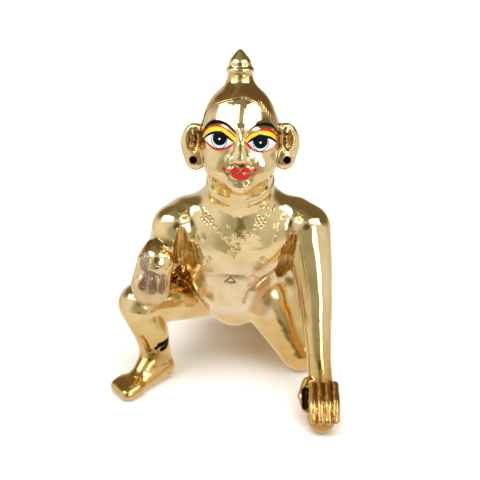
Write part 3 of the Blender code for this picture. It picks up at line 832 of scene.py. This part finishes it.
def cut_share(points):
    """How far each point lies in a chased or punched line, where old polish stays; in the punched dots the brown is
    partly painted shade.
    """
    side, up, forward = head_axes(points)
    hairline = 1 - smooth(np.abs(over_hairline(side, up) + 0.05), 0.05, 0.35)
    cuts = np.where((forward > 0) & (np.abs(side) < EAR_SIDE), hairline, 0)
    flat = np.stack([side, up], axis=1)
    face = (forward > 3) & (np.abs(side) < 9)
    for line in (NOSTRILS, NOSE_LEFT, NOSE_RIGHT):
        cuts[face] = np.maximum(cuts[face], 0.8 * (1 - smooth(to_line(flat[face], line), 0.10, 0.35)))
    chest = on_chest(points)
    body = points[chest][:, [0, 2]]
    marks = 0.5 * (1 - smooth(to_line(body, BELLY_CREASE), 0.2, 0.7))
    for line in NAVEL:
        marks = np.maximum(marks, 1 - smooth(to_line(body, line), 0.10, 0.30))
    # Brown in the punched dots: partly old polish, partly painted shade in the pits.
    for dot in DOTS:
        marks = np.maximum(marks, 0.7 * (1 - smooth(np.linalg.norm(body - dot, axis=1), 0.1, 0.42)))
    cuts[chest] = np.maximum(cuts[chest], marks)
    return cuts


def satin_share(points):
    """Where the wheel left a soft shine: the neck, the belly, the fist, and the ball under the hand."""
    fist = 1 - smooth(away_from(points, FIST_FRONT), 4.5, 6.5)
    hand = 1 - smooth(away_from(points, BALL_MIDDLE), 4.6, 6.0)
    neck = 0.4 * (1 - smooth(limb_away(points, NECK_BASE, NECK_TOP, 9.0, 9.0), 0.0, 2.0))
    low = 0.45 * (1 - smooth(points[:, 2], 8, 24))
    return np.max([buffed_belly(points), 2.0 * fist, hand, neck, low], axis=0)


def stain_share(points):
    """Black in the strokes of the stain, and a brown haze round it."""
    away = np.linalg.norm((points - np.array(HAZE_MIDDLE)) / HAZE_REACH, axis=1)
    stain = 0.5 * (1 - smooth(away, 0.2, 1.0))
    for line, width in STAIN_STROKES:
        stain = np.maximum(stain, 1 - smooth(to_line(points, line) / width, 0.5, 1.5))
    return stain


def dress(mesh):
    """Exact normals of the chased surface, and what the finish reads at each point of it."""
    points = get_points(mesh)
    _, slope = slope_of(chased_distance, points)
    normals = slope / np.maximum(np.linalg.norm(slope, axis=1), 1e-9)[:, None]
    colours = np.ones((len(points), 4), np.float32)
    colours[:, :3] = metal_colour(points, normals)
    mesh.attributes.new("metal", "FLOAT_COLOR", "POINT").data.foreach_set("color", colours.ravel())
    # The thumb hollow and lobe holes, painted dark as painted shade, also take the filed roughness and file strokes.
    dark = np.maximum(wall_of(points, THUMB_HOLLOW), wall_of(points, LOBE_HOLES))
    put_values(mesh, "filed", np.maximum(filed_share(points), dark))
    put_values(mesh, "satin", satin_share(points))
    put_values(mesh, "stain", stain_share(points))

    set_points(mesh, to_metres(points))
    mesh.shade_smooth()
    corners = np.empty(len(mesh.loops), int)
    mesh.loops.foreach_get("vertex_index", corners)
    on_ground = np.repeat([all(points[v, 2] < 1e-3 for v in p.vertices) for p in mesh.polygons], 3)
    corner_normals = normals[corners]
    corner_normals[on_ground] = (0, 0, -1)
    mesh.normals_split_custom_set(corner_normals.tolist())


def put_values(mesh, name, values):
    mesh.attributes.new(name, "FLOAT", "POINT").data.foreach_set("value", values.astype(np.float32))


# Paint: outlines in the head's plane, as (side, up), each a film of enamel that lies on the brass

WHITE = "porcelain white enamel"
BLACK = "black enamel"
RED = "signal red enamel"
YELLOW = "golden yellow enamel"
BLUE = "pale blue enamel"
PAINTED = {
    "right_eye_paint": [
        (BLACK, 0.05, [
            (-10.95, 2.09), (-10.08, 4.48), (-9.08, 5.95), (-7.82, 6.81), (-6.39, 7.02), (-5.14, 6.9), (-3.9, 6.46),
            (-2.84, 5.75), (-1.87, 4.84), (-1.26, 3.94), (-0.87, 3.25), (-1.26, 3.4), (-2.14, 4.24), (-3.19, 5.07),
            (-4.25, 5.71), (-5.49, 6.06), (-6.74, 6.08), (-7.99, 5.66), (-9.07, 4.9), (-9.98, 3.68), (-10.75, 2.17),
        ]),
        (RED, 0.05, [
            (-10.31, 3.16), (-9.43, 4.41), (-8.34, 5.25), (-6.91, 5.67), (-5.49, 5.52), (-4.25, 5.08), (-3.19, 4.43),
            (-2.14, 3.51), (-1.12, 2.72), (-1.33, 2.54), (-2.31, 3.22), (-3.37, 4.12), (-4.34, 4.74), (-5.58, 5.16),
            (-6.91, 5.29), (-8.24, 4.95), (-9.27, 4.19), (-10.07, 3.16),
        ]),
        (YELLOW, 0.03, [
            (-10.56, 1.72), (-10.34, 2.64), (-9.42, 4.05), (-8.33, 4.95), (-6.91, 5.35), (-5.49, 5.22),
            (-4.25, 4.76), (-3.19, 4.02), (-2.14, 3.1), (-1.43, 2.45), (-0.87, 2.09), (-0.87, 1.55), (-1.43, 1.11),
            (-2.49, 1.8), (-3.54, 2.6), (-4.43, 3.2), (-5.48, 3.6), (-6.54, 3.7), (-7.61, 3.5), (-8.67, 3.0),
            (-9.57, 2.3), (-10.14, 1.63),
        ]),
        (BLACK, 0.14, [
            (-10.03, 1.96), (-9.39, 2.88), (-8.49, 3.52), (-7.43, 3.93), (-6.37, 4.1), (-5.31, 3.9), (-4.25, 3.43),
            (-3.37, 2.78), (-2.49, 1.95), (-1.56, 1.19), (-1.7, 1.0), (-2.49, 1.45), (-3.54, 2.1), (-4.25, 2.85),
            (-5.48, 3.34), (-6.54, 3.47), (-7.69, 3.22), (-8.67, 2.8), (-9.38, 2.33), (-9.97, 1.59),
        ]),
        (WHITE, 0.05, [
            (-10.01, 1.52), (-9.38, 2.45), (-8.67, 2.95), (-7.69, 3.42), (-6.54, 3.75), (-5.48, 3.6), (-4.25, 3.1),
            (-3.54, 2.4), (-2.49, 1.68), (-1.61, 1.1), (-2.31, 0.43), (-3.19, -0.04), (-4.25, -0.53), (-5.31, -0.86),
            (-6.37, -0.91), (-7.44, -0.61), (-8.5, -0.03), (-9.39, 0.8),
        ]),
        (RED, 0.08, [
            (-10.01, 1.48), (-9.03, 0.75), (-7.97, -0.1), (-7.08, -0.67), (-5.84, -0.85), (-4.25, -0.47), (-3.37, 0.09),
            (-2.49, 0.55), (-1.57, 1.18), (-1.64, 0.75), (-2.49, -0.19), (-3.55, -0.75), (-4.61, -1.14), (-5.84, -1.46),
            (-6.91, -1.42), (-7.97, -0.89), (-9.04, 0.05), (-9.84, 1.1),
        ]),
        (BLACK, 0.10, ((-5.82, 1.60), 2.28, 2.46)),
        (BLUE, 0.12, ((-5.82, 1.62), 2.10, 2.26)),
        (BLACK, 0.14, ((-5.70, 2.08), 1.93, 1.96)),
        # A small white dot on the pupil: a painted highlight.
        (WHITE, 0.17, ((-5.76, 1.95), 0.27, 0.28)),
        (BLACK, 0.05, [(-9.93, 1.75), (-10.55, 0.55), (-11.1, -0.6), (-11.18, -0.62), (-10.75, 0.45), (-10.1, 1.7)]),
    ],
    "left_eye_paint": [
        (BLACK, 0.05, [
            (2.03, 3.65), (2.79, 4.61), (3.85, 5.55), (4.91, 6.04), (6.15, 6.26), (7.4, 6.18), (8.66, 5.74),
            (9.56, 4.97), (10.29, 3.92), (10.72, 2.77), (10.38, 2.85), (9.74, 3.88), (9.01, 4.67), (8.1, 5.16),
            (7.03, 5.44), (5.79, 5.52), (4.73, 5.33), (3.67, 4.86), (2.79, 4.27), (2.22, 3.47),
        ]),
        (RED, 0.05, [
            (1.34, 2.03), (2.08, 2.91), (3.14, 3.72), (4.2, 4.11), (5.43, 4.55), (6.32, 4.72), (7.74, 4.62),
            (8.81, 4.22), (9.72, 3.39), (10.53, 1.82), (10.32, 1.76), (9.51, 3.02), (8.62, 3.7), (7.73, 4.01),
            (6.49, 4.11), (5.43, 4.12), (4.2, 3.76), (3.14, 3.35), (2.17, 2.45), (1.45, 1.78),
        ]),
        (YELLOW, 0.03, [
            (0.89, 1.82), (1.82, 2.61), (2.79, 3.28), (3.84, 3.74), (5.08, 4.02), (6.49, 4.13), (7.91, 3.97),
            (8.97, 3.44), (9.88, 2.56), (10.54, 1.09), (10.32, 0.73), (9.51, 1.7), (8.43, 2.3), (7.37, 2.55),
            (6.31, 2.6), (5.08, 2.5), (4.02, 2.1), (3.14, 1.6), (2.17, 1.0), (1.82, 0.9), (1.29, 1.52),
        ]),
        (BLACK, 0.14, [
            (1.94, 1.02), (2.96, 2.0), (4.02, 2.6), (5.25, 2.94), (6.49, 3.0), (7.72, 2.81), (8.79, 2.35), (9.69, 1.6),
            (10.35, 0.47), (10.13, 0.21), (9.51, 1.1), (8.61, 1.8), (7.72, 2.04), (6.49, 2.45), (5.25, 2.42),
            (4.02, 1.81), (3.14, 1.33), (2.17, 0.86),
        ]),
        (WHITE, 0.05, [
            (2.03, 0.91), (3.14, 1.54), (4.02, 2.05), (5.25, 2.67), (6.49, 2.69), (7.72, 2.3), (8.61, 1.99),
            (9.51, 1.31), (10.24, 0.12), (9.72, -0.41), (8.81, -0.92), (7.74, -1.43), (6.5, -1.77), (5.44, -1.86),
            (4.55, -1.61), (3.85, -1.05), (3.32, -0.4), (2.61, 0.2),
        ]),
        (RED, 0.08, [
            (0.82, 1.69), (1.73, 1.14), (2.35, 0.75), (3.14, -0.03), (3.85, -0.94), (4.55, -1.44), (5.61, -1.73),
            (6.67, -1.65), (7.92, -1.31), (8.99, -0.82), (9.9, -0.17), (10.28, 0.05), (10.21, -0.19), (9.17, -0.86),
            (8.1, -1.6), (6.68, -2.0), (5.44, -2.05), (4.2, -1.71), (3.14, -1.14), (2.26, -0.31), (1.61, 0.63),
            (1.03, 1.27),
        ]),
        (BLACK, 0.10, ((5.75, 0.72), 2.28, 2.42)),
        (BLUE, 0.12, ((5.75, 0.74), 2.10, 2.22)),
        (BLACK, 0.14, ((5.70, 1.20), 1.98, 2.0)),
        # A small white dot on the pupil: a painted highlight.
        (WHITE, 0.17, ((5.73, 0.95), 0.28, 0.28)),
    ],
    "lip_paint": [
        (RED, 0.05, [
            (-2.85, -7.25), (-2.53, -6.62), (-1.96, -6.14), (-1.26, -6.01), (-0.64, -6.2), (-0.24, -6.73), (0.06, -7.3),
            (-0.73, -7.46), (-1.79, -7.5),
        ]),
        (RED, 0.05, [
            (0.11, -7.3), (0.36, -6.67), (0.94, -6.14), (1.73, -5.97), (2.53, -6.16), (2.83, -6.59), (2.83, -6.96),
            (2.62, -7.35), (1.38, -7.47),
        ]),
        (RED, 0.05, [
            (-5.23, -6.36), (-4.93, -5.95), (-4.35, -6.01), (-4.05, -6.33), (-3.55, -6.78), (-2.67, -6.91),
            (-2.67, -7.28), (-3.55, -7.15), (-4.17, -6.92), (-4.7, -7.02), (-5.11, -6.81),
        ]),
        (RED, 0.05, [
            (4.82, -6.67), (4.64, -6.25), (4.2, -6.19), (3.85, -6.55), (3.32, -6.9), (2.79, -7.0), (2.79, -7.38),
            (3.5, -7.24), (3.99, -7.17), (4.42, -7.33), (4.77, -7.11),
        ]),
        (RED, 0.05, [
            (-3.34, -7.72), (-2.14, -7.92), (-0.73, -8.06), (1.03, -8.12), (2.62, -7.99), (3.36, -7.72), (2.9, -8.71),
            (2.18, -9.42), (1.03, -9.74), (-0.2, -9.73), (-1.26, -9.43), (-2.35, -8.62),
        ]),
    ],
}


def rounded_outline(outline):
    """The outline with its corners cut twice, except the sharp ones, which are kept."""
    points = [Vector(p) for p in outline]
    for _ in range(2):
        made = []
        for i, here in enumerate(points):
            before, after = points[i - 1], points[(i + 1) % len(points)]
            turn = (here - before).angle(after - here, 0.0)
            if turn > math.radians(70):
                made.append(here)
            else:
                made += [here.lerp(before, 0.25), here.lerp(after, 0.25)]
        points = made
    return points


def ellipse(centre, across, high, count=40):
    turns = (2 * math.pi * i / count for i in range(count))
    return [Vector((centre[0] + across * math.cos(t), centre[1] + high * math.sin(t))) for t in turns]


def film(outline, lift, material, skin):
    """One stroke of enamel: its outline filled, cut into small faces, laid on the brass and given its thickness."""
    shape = ellipse(*outline) if isinstance(outline, tuple) else rounded_outline(outline)
    deselect()
    bpy.ops.mesh.primitive_circle_add(vertices=len(shape), fill_type="NGON")
    stroke = bpy.context.object
    for vertex, place in zip(stroke.data.vertices, shape):
        vertex.co = (place.x, place.y, 0)
    bpy.ops.object.mode_set(mode="EDIT")
    bpy.ops.mesh.select_all(action="SELECT")
    bpy.ops.mesh.normals_make_consistent(inside=False)
    bpy.ops.mesh.quads_convert_to_tris(ngon_method="BEAUTY")
    step = 0.4
    for axis in range(2):
        low = min(place[axis] for place in shape)
        high = max(place[axis] for place in shape)
        way = [0, 0, 0]
        way[axis] = 1
        cut = low + step
        while cut < high:
            bpy.ops.mesh.select_all(action="SELECT")
            bpy.ops.mesh.bisect(plane_co=[cut * part for part in way], plane_no=way)
            cut += step
    bpy.ops.mesh.select_all(action="SELECT")
    bpy.ops.mesh.remove_doubles(threshold=0.01)
    bpy.ops.mesh.quads_convert_to_tris(ngon_method="BEAUTY")
    bpy.ops.object.mode_set(mode="OBJECT")
    if stroke.data.polygons[0].normal.z < 0:
        stroke.data.flip_normals()
    inward = -np.array(HEAD_TURN @ Vector((0, -1, 0)))
    flat = get_points(stroke.data)
    laid = []
    for side, up, _ in flat:
        start = Vector(to_metres(np.array(head_place(side, 25, up))))
        spot, normal, _, _ = skin.ray_cast(start, Vector(inward))
        laid.append(spot + normal * lift * UNIT)
    set_points(stroke.data, np.array(laid))
    thick = stroke.modifiers.new("Thickness", "SOLIDIFY")
    thick.thickness = (lift + 0.08) * UNIT
    thick.offset = -1.0
    bpy.ops.object.modifier_apply(modifier=thick.name)
    bpy.ops.object.shade_smooth_by_angle(angle=math.radians(40))
    stroke.data.materials.append(material)
    return stroke


def painted(name, strokes, paints, skin):
    films = [film(outline, lift, paints[paint], skin) for paint, lift, outline in strokes]
    deselect()
    for piece in films:
        piece.select_set(True)
    bpy.context.view_layer.objects.active = films[0]
    bpy.ops.object.join()
    piece = bpy.context.object
    piece.name = name
    return piece


# Materials


def linear(text):
    """An sRGB hex colour as linear light."""
    parts = [int(text[i : i + 2], 16) / 255 for i in (1, 3, 5)]
    return (*[c / 12.92 if c <= 0.04045 else ((c + 0.055) / 1.055) ** 2.4 for c in parts], 1.0)


def node(tree, kind, links=None, **settings):
    """One node with its settings, and its sockets set or linked."""
    made = tree.nodes.new("ShaderNode" + kind)
    for name, value in settings.items():
        setattr(made, name, value)
    for socket, value in (links or {}).items():
        if isinstance(value, bpy.types.NodeSocket):
            tree.links.new(value, made.inputs[socket])
        else:
            made.inputs[socket].default_value = value
    return made


def new_material(name):
    material = bpy.data.materials.new(name)
    material.use_nodes = True
    tree = material.node_tree
    shader = tree.nodes["Principled BSDF"]
    spot = node(tree, "TexCoord").outputs["Object"]
    millimetres = node(tree, "VectorMath", {0: spot, "Scale": 1000.0}, operation="SCALE").outputs[0]
    return material, tree, shader, millimetres


def buffed_brass():
    """Cast yellow brass, filed and buffed by hand: a mirror where the wheel reached, satin on the belly, brown and
    scored by the file in the hollows."""
    material, tree, shader, mm = new_material("hand-buffed cast brass")
    metal = node(tree, "Attribute", attribute_name="metal").outputs["Color"]
    filed = node(tree, "Attribute", attribute_name="filed").outputs["Fac"]
    satin = node(tree, "Attribute", attribute_name="satin").outputs["Fac"]
    stain = node(tree, "Attribute", attribute_name="stain").outputs["Fac"]

    # Tarnish clouds some 6 mm wide, and specks of old polish under 1 mm
    cloud = node(tree, "TexNoise", {"Vector": mm, "Scale": 0.16, "Detail": 3.0, "Roughness": 0.55}).outputs[0]
    grain = node(tree, "TexNoise", {"Vector": mm, "Scale": 1.6, "Detail": 5.0, "Roughness": 0.6}).outputs[0]
    dulled = node(tree, "MapRange", {"Value": cloud, "From Min": 0.42, "From Max": 0.72, "To Max": 0.5}).outputs[0]
    multiply = {"data_type": "RGBA", "blend_type": "MULTIPLY"}
    tarnish = node(tree, "Mix", {"Factor": 1.0, 6: metal, 7: linear(TONES["tarnish"])}, **multiply).outputs[2]
    colour = node(tree, "Mix", {"Factor": dulled, 6: metal, 7: tarnish}, data_type="RGBA").outputs[2]

    # File strokes run down the hollows, 0.3 mm apart, with tarnish left between them
    along = {"Rotation": (0.1, 0.15, 0.3), "Scale": (3.2, 3.2, 0.22)}
    strokes_at = node(tree, "Mapping", {"Vector": mm, **along}).outputs[0]
    strokes = node(tree, "TexNoise", {"Vector": strokes_at, "Scale": 1.0, "Detail": 3.0}).outputs[0]
    between_strokes = node(tree, "MapRange", {"Value": strokes, "From Min": 0.35, "From Max": 0.68}).outputs[0]
    streaked = node(tree, "Math", {0: between_strokes, 1: filed}, operation="MULTIPLY").outputs[0]
    streak_share = node(tree, "Math", {0: streaked, 1: 0.6}, operation="MULTIPLY").outputs[0]
    filed_tone = linear(TONES["file stroke"])
    darker = node(tree, "Mix", {"Factor": 1.0, 6: colour, 7: filed_tone}, **multiply).outputs[2]
    colour = node(tree, "Mix", {"Factor": streak_share, 6: colour, 7: darker}, data_type="RGBA").outputs[2]

    ragged = node(tree, "MapRange", {"Value": grain, "From Min": 0.3, "From Max": 0.7, "To Min": -0.28, "To Max": 0.28})
    blot = node(tree, "Math", {0: stain, 1: ragged.outputs[0]}, operation="ADD").outputs[0]
    brown = node(tree, "MapRange", {"Value": blot, "From Min": 0.25, "From Max": 0.6, "To Max": 0.7}).outputs[0]
    black = node(tree, "MapRange", {"Value": blot, "From Min": 0.62, "From Max": 0.78}).outputs[0]
    colour = node(tree, "Mix", {"Factor": brown, 6: colour, 7: linear(TONES["stain haze"])}, data_type="RGBA").outputs[2]
    colour = node(tree, "Mix", {"Factor": black, 6: colour, 7: linear(TONES["stain"])}, data_type="RGBA").outputs[2]
    tree.links.new(colour, shader.inputs["Base Color"])
    shader.inputs["Metallic"].default_value = 1.0

    hazy = node(tree, "MapRange", {"Value": grain, "From Min": 0.35, "From Max": 0.75, "To Min": 0.05, "To Max": 0.12})
    rough = node(tree, "Math", {0: satin, 1: 0.15, 2: hazy.outputs[0]}, operation="MULTIPLY_ADD").outputs[0]
    rough = node(tree, "Math", {0: filed, 1: 0.24, 2: rough}, operation="MULTIPLY_ADD").outputs[0]
    rough = node(tree, "Math", {0: black, 1: 0.35, 2: rough}, operation="MULTIPLY_ADD", use_clamp=True).outputs[0]
    tree.links.new(rough, shader.inputs["Roughness"])

    # The wheel leaves ripples some 1.5 mm long, and fine pits that are drawn a little coarse to show
    ripples = node(tree, "TexNoise", {"Vector": mm, "Scale": 0.7, "Detail": 2.0, "Roughness": 0.5}).outputs[0]
    pits = node(tree, "TexNoise", {"Vector": mm, "Scale": 2.6, "Detail": 4.0, "Roughness": 0.7}).outputs[0]
    scored = node(tree, "Bump", {"Height": strokes, "Strength": filed, "Distance": 0.00012}).outputs[0]
    rippled = node(tree, "Bump", {"Height": ripples, "Strength": 0.5, "Distance": 0.00005, "Normal": scored}).outputs[0]
    pitted = node(tree, "Bump", {"Height": pits, "Strength": 0.5, "Distance": 0.000014, "Normal": rippled}).outputs[0]
    tree.links.new(pitted, shader.inputs["Normal"])
    return material


def enamel(name, colour):
    """Hobby enamel put on with a brush: a soft shine, with strokes that still show a little."""
    material, tree, shader, mm = new_material(name)
    brush = node(tree, "TexNoise", {"Vector": mm, "Scale": 2.2, "Detail": 3.0}).outputs[0]
    thin = node(tree, "MapRange", {"Value": brush, "From Min": 0.5, "From Max": 0.8}).outputs[0]
    dark = [0.8 * c for c in linear(colour)[:3]] + [1.0]
    mixed = node(tree, "Mix", {"Factor": thin, 6: linear(colour), 7: dark}, data_type="RGBA").outputs[2]
    tree.links.new(mixed, shader.inputs["Base Color"])
    rough = node(tree, "MapRange", {"Value": brush, "To Min": 0.28, "To Max": 0.5}).outputs[0]
    tree.links.new(rough, shader.inputs["Roughness"])
    bump = node(tree, "Bump", {"Height": brush, "Strength": 0.4, "Distance": 0.00004})
    tree.links.new(bump.outputs[0], shader.inputs["Normal"])
    shader.inputs["Specular IOR Level"].default_value = BLACK_SHINE if name == BLACK else PAINT_SHINE
    return material


BLACK_SHINE, PAINT_SHINE = 0.08, 0.3  # the black shows almost no shine
PAINT_COLOURS = {WHITE: "#F6F3EC", BLACK: "#0B0A0C", RED: "#C60C14", YELLOW: "#F7C325", BLUE: "#B9E2EE"}


# Studio


CAMERA_TARGET, UNITS_PER_PIXEL = (0.574, 0.0, 36.65), 0.287  # in drawing units
CAMERA_AWAY = 0.60  # metres
SENSOR, PICTURE_SIDE = 36.0, 480  # millimetres and pixels


def add_camera():
    """The photograph's view: about 30 degrees down, with the long lens of a product shot."""
    elevation = math.radians(30.0)
    back = Vector((0, -math.cos(elevation), math.sin(elevation)))
    target = Vector(to_metres(np.array(CAMERA_TARGET)))
    pixel = UNITS_PER_PIXEL * UNIT  # metres at the target
    camera = bpy.data.objects.new("camera", bpy.data.cameras.new("camera"))
    bpy.context.scene.collection.objects.link(camera)
    camera.location = target + back * CAMERA_AWAY
    camera.rotation_mode = "QUATERNION"
    camera.rotation_quaternion = (-back).to_track_quat("-Z", "Y")
    camera.data.sensor_width = SENSOR
    camera.data.lens = SENSOR * CAMERA_AWAY / (PICTURE_SIDE * pixel)
    camera.data.clip_start = 0.01
    bpy.context.scene.camera = camera


SOFTBOX_POWER, LOW_SOFTBOX_POWER, FILL_POWER = 1.3, 0.9, 25  # watts
SOFTBOX_AWAY, SOFTBOX_WIDTH, LOW_SOFTBOX_WIDTH = 0.75, 0.28, 0.24  # metres
FILL_HEIGHT, FILL_SIZE = 1.5, 1.6  # metres
FIGURE_MIDDLE = Vector((0, 0, 0.05))


def direction(azimuth, elevation):
    """Azimuth 0 is towards the viewer and 90 to the viewer's right, in degrees."""
    a, e = math.radians(azimuth), math.radians(elevation)
    return Vector((math.sin(a) * math.cos(e), -math.cos(a) * math.cos(e), math.sin(e)))


def area_light(name, power, size):
    data = bpy.data.lights.new(name, "AREA")
    data.energy = power
    data.size = size
    light = bpy.data.objects.new(name, data)
    bpy.context.scene.collection.objects.link(light)
    return light


def softbox(name, start, end, width, power):
    """A long soft light over the figure, from one direction to another."""
    low, high = start * SOFTBOX_AWAY, end * SOFTBOX_AWAY
    middle = (low + high) / 2 + FIGURE_MIDDLE
    along = (high - low).normalized()
    facing = (FIGURE_MIDDLE - middle).normalized()
    up = facing.cross(along).normalized()
    light = area_light(name, power, (high - low).length)
    light.data.shape = "RECTANGLE"
    light.data.size_y = width
    axes = Matrix((along, up, -facing)).transposed()
    light.matrix_world = Matrix.Translation(middle) @ axes.to_4x4()


def overhead_fill():
    """A wide light above that keeps the paper white, and that the brass doesn't mirror."""
    light = area_light("overhead_fill", FILL_POWER, FILL_SIZE)
    light.location = (0, 0, FILL_HEIGHT)
    light.visible_glossy = False


# Walls of the room that the brass mirrors, as azimuth, elevation, inner and outer half-angle, and tone
STUDIO_TONES = [
    (-85, 15, 20, 50, "#F4F0E6"),
    (85, 20, 16, 44, "#EAE6DA"),
    (0, 90, 14, 36, "#8C8A78"),
    (140, 35, 32, 54, "#766648"),
    (-135, 38, 16, 40, "#7C6C4E"),
    (0, -2, 26, 52, "#B4B096"),
    (0, 14, 18, 40, "#A9A68E"),
    (0, 36, 8, 20, "#5E5C44"),
    (0, -20, 5, 13, "#7C775A"),
]
ROOM_TONE, PAPER_TONE = "#DCD8CE", "#F6EEE0"
PAPER_EDGE = -0.39  # below this height of a direction the brass mirrors the white paper


def add_studio():
    deselect()
    bpy.ops.mesh.primitive_circle_add(vertices=96, radius=3.0, fill_type="NGON", location=(0, 0, -0.0002))
    floor = bpy.context.object
    floor.name = "studio_floor"
    material = bpy.data.materials.new("matt white paper")
    material.use_nodes = True
    shader = material.node_tree.nodes["Principled BSDF"]
    shader.inputs["Base Color"].default_value = linear("#FBF9F7")
    shader.inputs["Roughness"].default_value = 0.8
    floor.data.materials.append(material)
    floor.visible_glossy = False  # the brass mirrors the lower half of the world in its place

    softbox("softbox_left", direction(-98, 32), direction(-34, 58), SOFTBOX_WIDTH, SOFTBOX_POWER)
    softbox("softbox_right", direction(32, 58), direction(94, 31), SOFTBOX_WIDTH, SOFTBOX_POWER)
    softbox("softbox_low", direction(33, 2), direction(41, 36), LOW_SOFTBOX_WIDTH, LOW_SOFTBOX_POWER)
    overhead_fill()

    world = bpy.data.worlds.new("studio")
    bpy.context.scene.world = world
    world.use_nodes = True
    tree = world.node_tree
    way = node(tree, "TexCoord").outputs["Generated"]
    height = node(tree, "SeparateXYZ", {"Vector": way}).outputs["Z"]
    above = node(tree, "MapRange", {"Value": height, "From Min": PAPER_EDGE - 0.05, "From Max": PAPER_EDGE}).outputs[0]
    colour = linear(ROOM_TONE)
    for azimuth, elevation, inner, outer, tone in STUDIO_TONES:
        near = node(tree, "VectorMath", {0: way, 1: direction(azimuth, elevation)}, operation="DOT_PRODUCT")
        edges = {"From Min": math.cos(math.radians(outer)), "From Max": math.cos(math.radians(inner))}
        share = node(tree, "MapRange", {"Value": near.outputs["Value"], **edges}, interpolation_type="SMOOTHSTEP")
        mix = node(tree, "Mix", {"Factor": share.outputs[0], 6: colour, 7: linear(tone)}, data_type="RGBA")
        colour = mix.outputs[2]
    mix = node(tree, "Mix", {"Factor": above, 6: linear(PAPER_TONE), 7: colour}, data_type="RGBA")
    tree.links.new(mix.outputs[2], tree.nodes["Background"].inputs["Color"])
    tree.nodes["Background"].inputs["Strength"].default_value = 1.0


def main():
    add_camera()
    idol = finish_casting(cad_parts["idol"])
    idol.data.materials.clear()
    idol.data.materials.append(buffed_brass())
    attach(idol, "root")
    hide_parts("idol")
    skin = BVHTree.FromPolygons(get_points(idol.data).tolist(), [tuple(face.vertices) for face in idol.data.polygons])
    paints = {name: enamel(name, colour) for name, colour in PAINT_COLOURS.items()}
    for name, strokes in PAINTED.items():
        piece = painted(name, strokes, paints, skin)
        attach(piece, "root")
    add_studio()
    bpy.context.scene.view_settings.view_transform = "Standard"


main()
